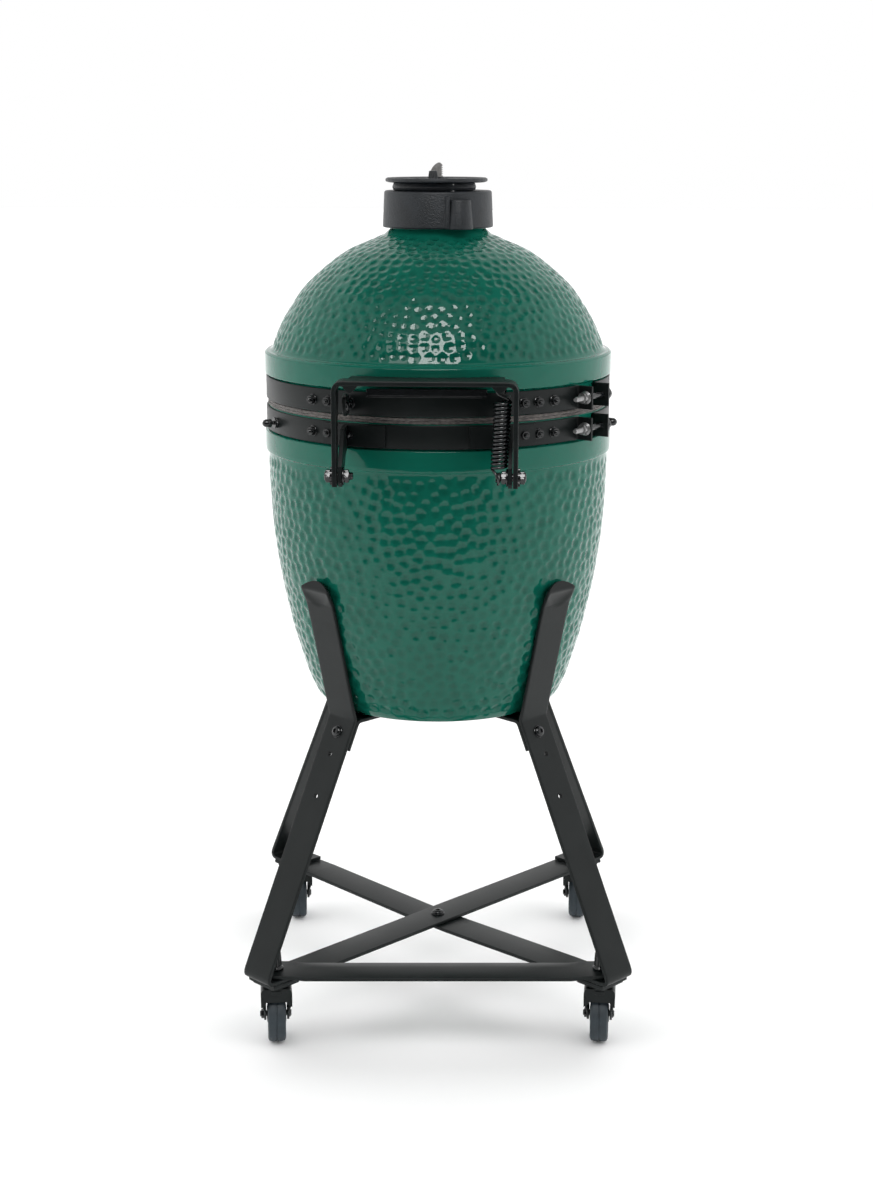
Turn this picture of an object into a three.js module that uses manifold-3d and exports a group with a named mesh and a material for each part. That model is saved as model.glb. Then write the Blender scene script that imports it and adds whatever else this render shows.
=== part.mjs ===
// Kamado ceramic grill: a ceramic egg with a hinged dome, carried by a steel nest on four casters.
// Millimetres, +Z up. The origin lies on the floor under the middle of the grill. The handle, the
// thermometer and the draft door are at the front (-Y), the hinge and its spring at the back (+Y).
import * as THREE from 'three';
import { mergeVertices } from 'three/addons/utils/BufferGeometryUtils.js';
import Module from 'manifold-3d';

const wasm = await Module();
wasm.setup();

// ---------------------------------------------------------------- driving dimensions
const ROUND = 40;                 // sides of the large turned parts
const SMALL = 10;                 // sides of bolts and pins
const GAP = 0.3;                  // air between pieces that touch

const EGG_BOTTOM = 434;           // underside of the ceramic base
const BASE_RIM = 846;             // upper edge of the base's rim
const DOME_RIM = 854;             // lower edge of the dome's rim
const RIM_R = 229.7;              // ceramic radius under the steel bands
const FLANGE_R = 234.4;           // radius of the proud ceramic flange above and below the bands
const WALL = 23;                  // ceramic thickness
const NECK_R = 64;                // chimney neck, outside
const NECK_BORE = 50;             // chimney neck, inside
const NECK_TOP = 1117;

const BAND_T = 3;                 // thickness of the two band straps
const BAND_H = 30;
const LOWER_BAND_Z = 814.5;
const UPPER_BAND_Z = 855;
const CLAMP_ANGLE = 149.4;        // where each band is split and bolted, degrees from +X

const PIVOT_Y = 272;              // hinge axis, parallel to X
const PIVOT_Z = 787;
const BAIL_HALF = 115;            // half the width of the hinge bail, outside
const BAIL_T = 6;
const BAIL_DEPTH = 34;            // width of the bail's flat bar
const BAIL_TOP = 906;

const NEST_TURN = 3.4;            // the egg stands in the nest turned by this much, degrees
const STRAP_W = 50.8;             // nest straps are two-inch bar
const STRAP_T = 5;
const FOOT_Z = 98;                // underside of each foot
const CASTER_R = 308.3;           // from the middle of the nest to each caster stem
const WHEEL_R = 37.5;
const WHEEL_W = 24;
const AXLE_OFFSET = 14;           // a caster's wheel trails its stem by this much
const AXLE_Z = WHEEL_R;

const COLLAR_TOP = 1127;          // cast vent cap on the chimney
const COLLAR_BOTTOM = 1079;
const CAP_PIN = [-21.5, 45];      // pin on which the cap's top swings aside
const DAISY_X = 2;                // centre of the daisy wheel
const DAISY_Z = 1137.6;
const DAISY_R = 68;

const DRAFT_Z = 450;              // underside of the draft door frame
const DRAFT_H = 62;
const DRAFT_HALF = 32.4;          // half the frame's arc, degrees
const DOOR_HALF = 10.6;           // half a door's arc, degrees
const OPENING_HALF = 9.6;         // half the draft opening's arc, degrees

// ---------------------------------------------------------------- materials
const finish = (color, roughness, metalness) =>
  new THREE.MeshStandardMaterial({ color, roughness, metalness });
const glaze = () => finish(0x1f6b50, 0.12, 0);
const blackSteel = () => finish(0x2b2e2e, 0.45, 0.3);
const castIron = () => finish(0x34373b, 0.6, 0.5);
const felt = () => finish(0x6b615a, 0.95, 0);
const fireclay = () => finish(0xb9a88f, 0.9, 0);
const stainless = () => finish(0xb5b5b2, 0.3, 0.9);
const boltSteel = () => finish(0x8d8f8f, 0.3, 0.9);
const rubber = () => finish(0x27313a, 0.7, 0);
const timber = () => finish(0x8a5a33, 0.5, 0);

// ---------------------------------------------------------------- geometry helpers
const rad = THREE.MathUtils.degToRad;
const polar = (r, angle) => [r * Math.cos(rad(angle)), r * Math.sin(rad(angle))];
const group = new THREE.Group();

function signedVolume(geometry) {
  const p = geometry.attributes.position;
  const index = geometry.index;
  const corner = [new THREE.Vector3(), new THREE.Vector3(), new THREE.Vector3()];
  let sum = 0;
  for (let i = 0; i < index.count; i += 3) {
    corner.forEach((v, k) => v.fromBufferAttribute(p, index.getX(i + k)));
    sum += corner[0].dot(corner[1].clone().cross(corner[2])) / 6;
  }
  return sum;
}

// Merges shared corners and turns the faces outward.
function closed(geometry) {
  let g = geometry.clone();
  g.deleteAttribute('normal');
  g.deleteAttribute('uv');
  g = mergeVertices(g, 1e-4);
  const index = Array.from(g.index.array);
  const kept = [];
  for (let i = 0; i < index.length; i += 3) {
    const [a, b, c] = index.slice(i, i + 3);
    if (a !== b && b !== c && a !== c) kept.push(a, b, c);
  }
  g.setIndex(kept);
  if (signedVolume(g) < 0) {
    for (let i = 0; i < kept.length; i += 3) [kept[i], kept[i + 1]] = [kept[i + 1], kept[i]];
    g.setIndex(kept);
  }
  return g;
}

function solid(geometry) {
  const g = closed(geometry);
  return new wasm.Manifold(new wasm.Mesh({
    numProp: 3,
    vertProperties: new Float32Array(g.attributes.position.array),
    triVerts: new Uint32Array(g.index.array),
  }));
}

function fromSolid(manifold) {
  const mesh = manifold.getMesh();
  const g = new THREE.BufferGeometry();
  g.setAttribute('position', new THREE.BufferAttribute(new Float32Array(mesh.vertProperties), 3));
  g.setIndex(Array.from(mesh.triVerts));
  return g;
}

function cut(geometry, ...tools) {
  return fromSolid(tools.reduce((body, tool) => body.subtract(solid(tool)), solid(geometry)));
}

function join(geometry, ...more) {
  return fromSolid(more.reduce((body, piece) => body.add(solid(piece)), solid(geometry)));
}

// Turns a profile of [radius, height] points about +Z. It closes on itself, or ends on the axis.
function turned(profile, sides = ROUND) {
  const onAxis = profile[0][0] === 0 && profile[profile.length - 1][0] === 0;
  const points = onAxis ? profile : [...profile, profile[0]];
  const g = new THREE.LatheGeometry(points.map(([r, z]) => new THREE.Vector2(r, z)), sides);
  return g.rotateX(Math.PI / 2);
}

const tube = (inner, outer, low, high, sides = ROUND) =>
  turned([[inner, low], [outer, low], [outer, high], [inner, high]], sides);

// An upright cylinder from low to high.
function rod(radius, low, high, sides = SMALL, topRadius = radius) {
  const g = new THREE.CylinderGeometry(topRadius, radius, high - low, sides);
  return g.rotateX(Math.PI / 2).translate(0, 0, (low + high) / 2);
}

function block(sx, sy, sz, x, y, z) {
  return new THREE.BoxGeometry(sx, sy, sz).translate(x, y, z);
}

// Part of a ring between two radii, two heights and two angles in degrees.
function ringSector(inner, outer, low, high, from, to, steps = 12) {
  const angles = Array.from({ length: steps + 1 }, (_, i) => from + ((to - from) * i) / steps);
  const outline = [
    ...angles.map((a) => polar(outer, a)),
    ...angles.reverse().map((a) => polar(inner, a)),
  ];
  return extrude(polygon(outline), high - low).translate(0, 0, low);
}

function extrude(shape, depth, curveSegments = 8) {
  return new THREE.ExtrudeGeometry(shape, { depth, bevelEnabled: false, curveSegments });
}

function polygon(points) {
  return new THREE.Shape(points.map(([x, y]) => new THREE.Vector2(x, y)));
}

// Moves each point of an open profile inward by a thickness, square to the line.
function inset(profile, thickness) {
  return profile.map(([r, z], i) => {
    const [r0, z0] = profile[Math.max(i - 1, 0)];
    const [r1, z1] = profile[Math.min(i + 1, profile.length - 1)];
    const length = Math.hypot(r1 - r0, z1 - z0);
    return [r - ((z1 - z0) / length) * thickness, z + ((r1 - r0) / length) * thickness];
  });
}

// Smooth profile through a few [radius, height] points.
function smooth(points, steps) {
  const curve = new THREE.SplineCurve(points.map(([r, z]) => new THREE.Vector2(r, z)));
  return curve.getPoints(steps).map((p) => [p.x, p.y]);
}

// Replaces each inner corner of a line by a small arc.
function rounded(points, radius, steps = 3) {
  const line = points.map(([x, y]) => new THREE.Vector2(x, y));
  const out = [line[0]];
  for (let i = 1; i < line.length - 1; i += 1) {
    const back = line[i - 1].clone().sub(line[i]).normalize();
    const ahead = line[i + 1].clone().sub(line[i]).normalize();
    const half = Math.acos(THREE.MathUtils.clamp(back.dot(ahead), -1, 1)) / 2;
    const reach = Math.min(radius / Math.tan(half), line[i].distanceTo(line[i + 1]) / 2.2);
    const start = line[i].clone().addScaledVector(back, reach);
    const end = line[i].clone().addScaledVector(ahead, reach);
    const straight = reach < 0.1;
    if (straight) out.push(line[i]);
    else out.push(...new THREE.QuadraticBezierCurve(start, line[i], end).getPoints(steps));
  }
  out.push(line[line.length - 1]);
  return out;
}

// Outline of a bent flat bar whose middle line runs through the points.
function barOutline(points, thickness, bendRadius) {
  const line = rounded(points, bendRadius);
  const side = (sign) => line.map((p, i) => {
    const before = line[Math.max(i - 1, 0)];
    const after = line[Math.min(i + 1, line.length - 1)];
    const along = after.clone().sub(before).normalize();
    return [p.x - along.y * sign * thickness / 2, p.y + along.x * sign * thickness / 2];
  });
  return polygon([...side(1), ...side(-1).reverse()]);
}

// A bent bar of the given width. Its outline lies in the upright plane through +Z at an angle.
function bentBar(points, width, angle, thickness = STRAP_T, bendRadius = 9) {
  const g = extrude(barOutline(points, thickness, bendRadius), width);
  g.translate(0, 0, -width / 2);
  const out = new THREE.Vector3(Math.cos(rad(angle)), Math.sin(rad(angle)), 0);
  const up = new THREE.Vector3(0, 0, 1);
  const m = new THREE.Matrix4().makeBasis(out, up, out.clone().cross(up));
  return g.applyMatrix4(m);
}

function add(name, geometry, material, parent = group) {
  const mesh = new THREE.Mesh(closed(geometry), material);
  mesh.name = name;
  parent.add(mesh);
  return mesh;
}

// ---------------------------------------------------------------- ceramic egg
const everySecond = (p, i) => i % 2 === 0;
const baseCurve = smooth(
  [[170, 446], [181, 470], [193, 509], [202.3, 541], [217, 610], [226.5, 678], [230.6, 745], [231, 779]],
  8,
);
const domeCurve = smooth(
  [[224.5, 920], [212, 951], [196, 978], [174, 1007], [129, 1044], [91, 1062], [72, 1070]],
  8,
);

// The thermometer and its hole stand square to the dome's front at this point.
const GAUGE_R = 178;
const GAUGE_Z = 1002.5;
const GAUGE_TILT = 48.5;          // from upright, towards the front

function atGauge(geometry) {
  return geometry.rotateX(rad(GAUGE_TILT)).translate(0, -GAUGE_R, GAUGE_Z);
}

function baseShell() {
  const outside = [
    [0, EGG_BOTTOM], [150, EGG_BOTTOM], [161, 437.5], ...baseCurve,
    [234, 787], [FLANGE_R + 0.6, 790], [FLANGE_R + 0.6, 810.5], [FLANGE_R - 0.5, 812.5],
    [RIM_R, 813], [RIM_R, BASE_RIM],
  ];
  const floor = EGG_BOTTOM + 26;
  const bowl = inset(baseCurve, WALL).filter(([, z]) => z > floor + 8).filter(everySecond).reverse();
  const inside = [[206, BASE_RIM], [206, 782], ...bowl, [140, floor], [0, floor]];
  const house = ringSector(168, 184.6, DRAFT_Z - GAP, DRAFT_Z + DRAFT_H + GAP, 237.1, 302.9);
  const recess = ringSector(184.6, 230, DRAFT_Z - GAP, DRAFT_Z + DRAFT_H + GAP, 237.1, 302.9);
  const draft = ringSector(100, 230, 463, 499, 270 - OPENING_HALF, 270 + OPENING_HALF, 6);
  return cut(join(turned([...outside, ...inside]), house), recess, draft);
}

function domeShell() {
  const outside = [
    [206, DOME_RIM], [RIM_R, DOME_RIM], [RIM_R, 886], [FLANGE_R - 1, 887.5], [FLANGE_R, 890],
    [FLANGE_R, 914], [FLANGE_R - 1.4, 916.6], [230, 917.6], ...domeCurve,
    [67.5, 1074], [NECK_R + 0.6, 1080], [NECK_R, 1084], [NECK_R, NECK_TOP - 2], [NECK_R - 2, NECK_TOP],
  ];
  const vault = inset(domeCurve, WALL - 3).filter(([r]) => r > NECK_BORE + 6).filter(everySecond)
    .reverse();
  const inside = [[NECK_BORE, NECK_TOP], [NECK_BORE, 1052], ...vault, [206, 902]];
  const hole = atGauge(rod(6, -60, 30));
  return cut(turned([...outside, ...inside]), hole);
}

add('base_shell', baseShell(), glaze());
add('dome_shell', domeShell(), glaze());
add('base_gasket', tube(208, 231, BASE_RIM + GAP, 849.9), felt());
add('dome_gasket', tube(208, 231, 850.2, DOME_RIM - GAP), felt());

// ---------------------------------------------------------------- inside the egg
function fireBox() {
  const wall = turned([
    [104, 460.4], [124, 460.4], [134, 476], [156, 540], [172, 600], [178, 640],
    [154, 640], [148, 590], [118, 524], [100, 524],
  ], 24);
  const draft = ringSector(90, 220, 463, 499, 257, 283, 6);
  return cut(wall, draft);
}

// Round plate with rows of slots; a solid bar of the given half width crosses its middle.
function slottedPlate(radius, slotted, spine, rows, low, thickness) {
  const pitch = (2 * slotted) / rows;
  const tools = [];
  for (let i = 0; i < rows; i += 1) {
    const x = -slotted + pitch * (i + 0.5);
    const reach = Math.sqrt(slotted ** 2 - (Math.abs(x) + pitch * 0.32) ** 2);
    const length = reach - spine;
    for (const side of [-1, 1]) {
      const y = side * (spine + length / 2);
      if (length > pitch) tools.push(block(pitch * 0.6, length, 3 * thickness, x, y, low));
    }
  }
  return cut(rod(radius, low, low + thickness, 32), ...tools);
}

add('fire_box', fireBox(), fireclay());
add('fire_ring', turned([
  [166, 640.4], [182, 640.4], [196, 730], [202, 800], [202, 816], [182, 816], [178, 730],
], 24), fireclay());
add('charcoal_grate', slottedPlate(116, 104, 6, 7, 524.4, 6), castIron());
add('cooking_grid', slottedPlate(201, 192, 4, 11, 816.4, 6), stainless());

// ---------------------------------------------------------------- steel bands
const CLAMP_GAP = 4;              // half the angle between a band's two ears, degrees

// One strap round the rim, split at the clamp, with an upright ear at each end of the split.
function band(low) {
  const inner = RIM_R + GAP;
  const outer = inner + BAND_T;
  const high = low + BAND_H;
  const wedge = ringSector(inner - 5, outer + 5, low - 1, high + 1,
    CLAMP_ANGLE - CLAMP_GAP, CLAMP_ANGLE + CLAMP_GAP, 2);
  const ears = [-1, 1].map((side) => ringSector(inner + 1, outer + 22, low, high,
    CLAMP_ANGLE + side * CLAMP_GAP, CLAMP_ANGLE + side * (CLAMP_GAP + 1.2), 1));
  return join(cut(tube(inner, outer, low, high), wedge), ...ears);
}

// A bolt through both ears, square to the radius at the split.
function clampTool(radius, length) {
  const g = rod(radius, -length / 2, length / 2);
  g.rotateX(Math.PI / 2);
  return g;
}

function atClamp(geometry, z) {
  const [x, y] = polar(RIM_R + 14.5, CLAMP_ANGLE);
  return geometry.rotateZ(rad(CLAMP_ANGLE)).translate(x, y, z);
}

// Each bolt passes through both ears; its nut bears on the ear nearer the hinge.
function clampBolt(z) {
  const shank = clampTool(4, 92).translate(0, -9, 0);
  const head = new THREE.CylinderGeometry(7.5, 7.5, 7, 6).translate(0, 30.5, 0);
  const nut = new THREE.CylinderGeometry(7.5, 7.5, 7, 6).translate(0, -30.5, 0);
  const washer = new THREE.CylinderGeometry(9, 9, 2, SMALL).translate(0, -25.6, 0);
  return atClamp(join(shank, head, nut, washer), z);
}

const CLAMP_HOLE = 4.4;
for (const [name, low] of [['lower_band', LOWER_BAND_Z], ['upper_band', UPPER_BAND_Z]]) {
  const middle = low + BAND_H / 2;
  add(name, cut(band(low), atClamp(clampTool(CLAMP_HOLE, 70), middle)), blackSteel());
  add(`${name}_bolt`, clampBolt(middle), boltSteel());
}

// ---------------------------------------------------------------- hinge
const BAND_OUT = RIM_R + GAP + BAND_T;

// Bail: one flat bar bent twice, carried up from the pivot bolts and over to the upper band. Its
// inner edge is cut to the band's curve and its feet carry the eyes for the pivot bolts.
function bail() {
  const half = BAIL_HALF - BAIL_T / 2;
  const path = [
    [-half, PIVOT_Z - 12], [-half, BAIL_TOP - BAIL_T / 2],
    [half, BAIL_TOP - BAIL_T / 2], [half, PIVOT_Z - 12],
  ];
  const bar = extrude(barOutline(path, BAIL_T, 12), BAIL_DEPTH);
  bar.rotateX(Math.PI / 2).translate(0, PIVOT_Y + 12, 0);
  const plate = block(2 * half - 30, 30, BAIL_T, 0, PIVOT_Y - 32, BAIL_TOP - BAIL_T / 2);
  const bracket = block(150, 40, 3, 0, 240, 881);
  const web = block(150, 3, 24, 0, 241, 893);
  const clear = turned([[0, 600], [BAND_OUT + GAP, 600], [BAND_OUT + GAP, 886.6], [FLANGE_R + GAP, 887],
    [FLANGE_R + GAP, 1000], [0, 1000]]);
  const slim = [-1, 1].map((s) => block(20, 30, 80, s * BAIL_HALF, PIVOT_Y + 12 - 34 - 5, 820));
  const eyes = [-1, 1].map((s) => rod(5.3, -12, 12).rotateY(Math.PI / 2)
    .translate(s * half, PIVOT_Y, PIVOT_Z));
  return cut(join(bar, plate, web, bracket), clear, ...slim, ...eyes);
}

// Lower bracket on one side: a plate against the lower band and an ear out to the pivot bolt.
function lowerBracket(side) {
  const x = side * (BAIL_HALF - BAIL_T - 3.8);
  const ear = extrude(polygon([
    [200, 817], [200, 842], [246, 842], [PIVOT_Y + 10, 800], [PIVOT_Y + 10, 780],
    [PIVOT_Y + 4, 774], [PIVOT_Y - 8, 776], [232, 806],
  ]), 5);
  const m = new THREE.Matrix4().makeBasis(
    new THREE.Vector3(0, 1, 0), new THREE.Vector3(0, 0, 1), new THREE.Vector3(1, 0, 0),
  );
  ear.applyMatrix4(m).translate(x - 2.5, 0, 0);
  const back = ringSector(BAND_OUT + GAP, BAND_OUT + GAP + 3, 816, 843,
    90 - side * 24 - 11, 90 - side * 24 + 11, 6);
  const clear = turned([[0, 600], [FLANGE_R + 1, 600], [FLANGE_R + 1, 813.6], [BAND_OUT + GAP, 813.6],
    [BAND_OUT + GAP, 900], [0, 900]]);
  const eye = rod(5.3, -12, 12).rotateY(Math.PI / 2).translate(x, PIVOT_Y, PIVOT_Z);
  return cut(join(ear, back), clear, eye);
}

function pivotBolt(side) {
  const shank = rod(5, -21, 15);
  const head = rod(9, 4.3, 10.5, SMALL, 6);
  const nut = new THREE.CylinderGeometry(8.5, 8.5, 7, 6).rotateX(Math.PI / 2).translate(0, 0, -17);
  return join(shank, head, nut).rotateY(side * Math.PI / 2)
    .translate(side * BAIL_HALF, PIVOT_Y, PIVOT_Z);
}

// Lift spring: a coil with a hook up to the bail and an eye round the pivot bolt's spacer.
const SPRING_TURNS = 15;
class SpringPath extends THREE.Curve {
  getPoint(t) {
    const a = 2 * Math.PI * SPRING_TURNS * t;
    return new THREE.Vector3(8.4 * Math.cos(a), 8.4 * Math.sin(a), -33 + 66 * t);
  }
}

function spring() {
  const section = polygon([0, 1, 2].map((i) => polar(2, 120 * i)));
  return new THREE.ExtrudeGeometry(section, {
    steps: SPRING_TURNS * 7, extrudePath: new SpringPath(), bevelEnabled: false,
  });
}

add('hinge_bail', bail(), blackSteel());
for (const [name, side] of [['left', 1], ['right', -1]]) {
  add(`hinge_bracket_${name}`, lowerBracket(side), blackSteel());
  add(`hinge_pivot_bolt_${name}`, pivotBolt(side), blackSteel());
}
const SPRING_X = -(BAIL_HALF - BAIL_T - 16);
add('hinge_spring', spring().translate(SPRING_X, PIVOT_Y - 2, 846), blackSteel());

// Studs on the lower band where side shelves bolt on, each with a cap nut.
function sideStud(angle) {
  const [x, y] = polar(BAND_OUT + GAP, angle);
  const stud = join(
    rod(6, 0, 3, 6), rod(3, 2, 18), rod(5.5, 10, 16, 6), rod(5.5, 15.5, 21, SMALL, 2),
  );
  return stud.rotateY(Math.PI / 2).rotateZ(rad(angle)).translate(x, y, LOWER_BAND_Z + BAND_H / 2);
}
add('side_stud_left', sideStud(28), blackSteel());
add('side_stud_right', sideStud(162), blackSteel());

// ---------------------------------------------------------------- vent cap
function collar() {
  const wall = turned([
    [66.6, COLLAR_BOTTOM], [73, COLLAR_BOTTOM], [73.6, COLLAR_BOTTOM + 1.5], [71.6, COLLAR_TOP - 3.5],
    [68.5, COLLAR_TOP], [45, COLLAR_TOP], [45, NECK_TOP + 2], [66.6, NECK_TOP + 2],
  ]);
  const boss = new THREE.CylinderGeometry(15, 18.5, 39, 12).rotateX(Math.PI / 2);
  const [x, y] = polar(67, 118);
  boss.translate(x, y, 1097.5);
  const bore = rod(66.6, COLLAR_BOTTOM - 5, NECK_TOP + 2, ROUND);
  const pinHole = rod(2.9, 1100, 1140).translate(...CAP_PIN, 0);
  return cut(join(wall, boss), bore, pinHole);
}

const VENTS = 5;
function ventTools(centreX, inner, outer, halfAngle, low, high, turn) {
  return Array.from({ length: VENTS }, (_, i) => {
    const a = turn + (360 / VENTS) * i;
    return ringSector(inner, outer, low, high, a - halfAngle, a + halfAngle, 4)
      .translate(centreX, 0, 0);
  });
}

function swingDisc() {
  const low = COLLAR_TOP + GAP;
  const high = DAISY_Z - GAP;
  const disc = rod(56, low, high, 32).translate(5, 0, 0);
  const vents = ventTools(DAISY_X, 17, 38, 15, low - 1, high + 1, 0);
  const pinHole = rod(2.9, low - 1, high + 1).translate(...CAP_PIN, 0);
  const postHole = rod(5.2, low - 1, high + 1).translate(DAISY_X, 0, 0);
  return cut(disc, ...vents, pinHole, postHole);
}

function daisyWheel() {
  const plate = turned([
    [0, DAISY_Z], [66, DAISY_Z], [DAISY_R, DAISY_Z + 1.8], [DAISY_R, DAISY_Z + 3.8],
    [66.4, DAISY_Z + 5.6], [62, DAISY_Z + 6], [58, DAISY_Z + 4.6], [0, DAISY_Z + 4.6],
  ], 32).translate(DAISY_X, 0, 0);
  const knob = rod(5.4, DAISY_Z + 4, DAISY_Z + 15.4, 12, 5).translate(DAISY_X + 3, 26, 0);
  const vents = ventTools(DAISY_X, 16, 42, 15, DAISY_Z - 1, DAISY_Z + 10, 36);
  const postHole = rod(5.5, DAISY_Z - 1, DAISY_Z + 10).translate(DAISY_X, 0, 0);
  return cut(join(plate, knob), ...vents, postHole);
}

// Post on which the daisy wheel turns, with a notched fin for a lifting tool.
function capTab() {
  const base = DAISY_Z + 4.6 + GAP;
  const shape = new THREE.Shape();
  shape.moveTo(-8, base);
  shape.lineTo(-8, base + 14);
  shape.quadraticCurveTo(-6, base + 21.4, 0, base + 21.4);
  shape.quadraticCurveTo(8, base + 19, 10, base);
  const fin = extrude(shape, 5).rotateX(Math.PI / 2).translate(DAISY_X, 2.5, 0);
  const notches = [0, 1, 2, 3].map((i) => block(3, 8, 1.5, DAISY_X - 8, 0, base + 4 + 3.4 * i));
  const post = rod(4.9, COLLAR_TOP + 2, base + 2).translate(DAISY_X, 0, 0);
  const cap = rod(9.5, base, base + 2).translate(DAISY_X, 0, 0);
  return cut(join(fin, cap, post), ...notches);
}

function capPin() {
  const shank = rod(2.6, NECK_TOP + 3, DAISY_Z - 1.4);
  return shank.translate(...CAP_PIN, 0);
}

add('cap_collar', collar(), castIron());
add('cap_gasket', tube(NECK_R + GAP, 66.3, 1086, 1112), felt());
add('cap_swing_disc', swingDisc(), castIron());
add('cap_pivot_pin', capPin(), boltSteel());
add('daisy_wheel', daisyWheel(), castIron());
add('cap_tab', capTab(), boltSteel());

// ---------------------------------------------------------------- handle
const GRIP_Y = -280;
const GRIP_Z = 872;
const GRIP_HALF = 105;

function handleBracket(side) {
  const x = side * 82;
  const arm = extrude(polygon([
    [-205, 858], [-205, 882], [-246, 882], [GRIP_Y + 6, 882], [GRIP_Y - 8, 880], [GRIP_Y - 10, 868],
    [GRIP_Y - 4, 860], [-246, 858],
  ]), 5);
  const m = new THREE.Matrix4().makeBasis(
    new THREE.Vector3(0, 1, 0), new THREE.Vector3(0, 0, 1), new THREE.Vector3(1, 0, 0),
  );
  arm.applyMatrix4(m).translate(x - 2.5, 0, 0);
  const foot = ringSector(BAND_OUT + GAP, BAND_OUT + GAP + 3, 857, 883,
    270 + side * 20.5 - 8, 270 + side * 20.5 + 8, 6);
  const clear = rod(BAND_OUT + GAP, 800, 886, ROUND);
  const eye = rod(5.4, -12, 12).rotateY(Math.PI / 2).translate(x, GRIP_Y, GRIP_Z);
  return cut(join(arm, foot), clear, eye);
}

// Turned grip with a waist at each bracket.
function grip() {
  const profile = [
    [0, -GRIP_HALF], [11, -GRIP_HALF], [13, -GRIP_HALF + 4], [13, -88], [5, -86], [5, -78.5],
    [13, -76.5], [14, 0], [13, 76.5], [5, 78.5], [5, 86], [13, 88], [13, GRIP_HALF - 4],
    [11, GRIP_HALF], [0, GRIP_HALF],
  ];
  return turned(profile, 16).rotateY(Math.PI / 2).translate(0, GRIP_Y, GRIP_Z);
}

add('handle_bracket_left', handleBracket(1), blackSteel());
add('handle_bracket_right', handleBracket(-1), blackSteel());
add('handle_grip', grip(), timber());

// ---------------------------------------------------------------- thermometer
// Built upright and then tilted square to the dome. The stem reaches into the egg.
add('thermometer_case', atGauge(join(
  turned([[0, 3], [24, 3], [26, 5], [26, 14], [24, 15.5], [23, 15.5], [23, 8], [0, 8]], 24),
  rod(4.5, -55, 4),
)), stainless());
add('thermometer_dial', atGauge(rod(22.6, 8.3, 9.3, 24)), finish(0xeeeeea, 0.6, 0));
add('thermometer_needle', atGauge(join(
  block(1.6, 20, 1, 0, 6, 10.4), rod(2.4, 9.8, 11.4, 12),
)), finish(0xb02318, 0.5, 0));
add('thermometer_glass', atGauge(rod(22.6, 13, 14.8, 24)), finish(0xdde6e8, 0.05, 0));

// ---------------------------------------------------------------- draft door
function draftFrame() {
  const a = 270 - DRAFT_HALF;
  const b = 270 + DRAFT_HALF;
  const z1 = DRAFT_Z + DRAFT_H;
  const body = ringSector(185, 200, DRAFT_Z, z1, a, b, 16);
  const track = ringSector(187, 197, DRAFT_Z + 3, z1 - 3, a + 0.8, b - 0.8, 16);
  const front = ringSector(190, 210, DRAFT_Z + 7, z1 - 7, a + 1.6, b - 1.6, 16);
  const back = ringSector(180, 190, 463, 499, 270 - OPENING_HALF, 270 + OPENING_HALF, 6);
  return cut(body, track, front, back);
}

const draftDoorLow = DRAFT_Z + 3 + GAP;
const draftDoorHigh = DRAFT_Z + DRAFT_H - 3 - GAP;

function draftDoor() {
  const plate = ringSector(193, 196, draftDoorLow, draftDoorHigh,
    270 - DOOR_HALF, 270 + DOOR_HALF, 8);
  const pull = ringSector(195, 207, DRAFT_Z + 24, DRAFT_Z + 38, 270 - 1.2, 270 + 1.2, 1);
  return join(plate, pull);
}

// Spark screen behind the door, with a small pull at its free side.
function draftScreen() {
  const plate = ringSector(188.3, 190.3, draftDoorLow, draftDoorHigh,
    270 - DOOR_HALF, 270 + DOOR_HALF, 8);
  const holes = [];
  for (let column = -3; column <= 3; column += 1) {
    for (const z of [472, 490]) {
      holes.push(block(4, 20, 13, 0, -189, z).rotateZ(rad(column * 2.9)));
    }
  }
  return cut(plate, ...holes);
}

add('draft_frame', draftFrame(), stainless());
add('draft_door', draftDoor(), stainless());
add('draft_screen', draftScreen(), stainless());

// ---------------------------------------------------------------- nest
const LEG_LEAN = new THREE.Vector2(344.8 - 180.9, 98 - 432.9).normalize();
const FOOT_MID = FOOT_Z + STRAP_T / 2;
const UNDER_FOOT = FOOT_Z - GAP - STRAP_T / 2;
const LEGS = ['rear_left', 'rear_right', 'front_right', 'front_left'].map(
  (name, i) => [name, 45 + 90 * i + NEST_TURN],
);

// A hole through a leg's sloping lower part, at a height.
function legHole(radius, length, z, angle) {
  const r = 180.9 + (LEG_LEAN.x / -LEG_LEAN.y) * (432.9 - z);
  const g = rod(radius, -length / 2, length / 2, 8);
  const tilt = Math.atan2(-LEG_LEAN.x, LEG_LEAN.y) + Math.PI / 2;
  return g.rotateY(Math.PI / 2 - tilt + Math.PI / 2).translate(r, 0, z).rotateZ(rad(angle));
}

function leg(angle) {
  const strap = bentBar([
    [227.5, 627], [220.6, 607], [213.2, 574], [180.9, 432.9], [344.8, FOOT_MID], [284, FOOT_MID],
  ], STRAP_W, angle);
  const stem = rod(5.6, 80, 120).translate(...polar(CASTER_R, angle), 0);
  return cut(strap, stem, legHole(4.4, 40, 414.7, angle), legHole(3.4, 40, 386.7, angle),
    legHole(3.4, 40, 333, angle));
}

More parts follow.
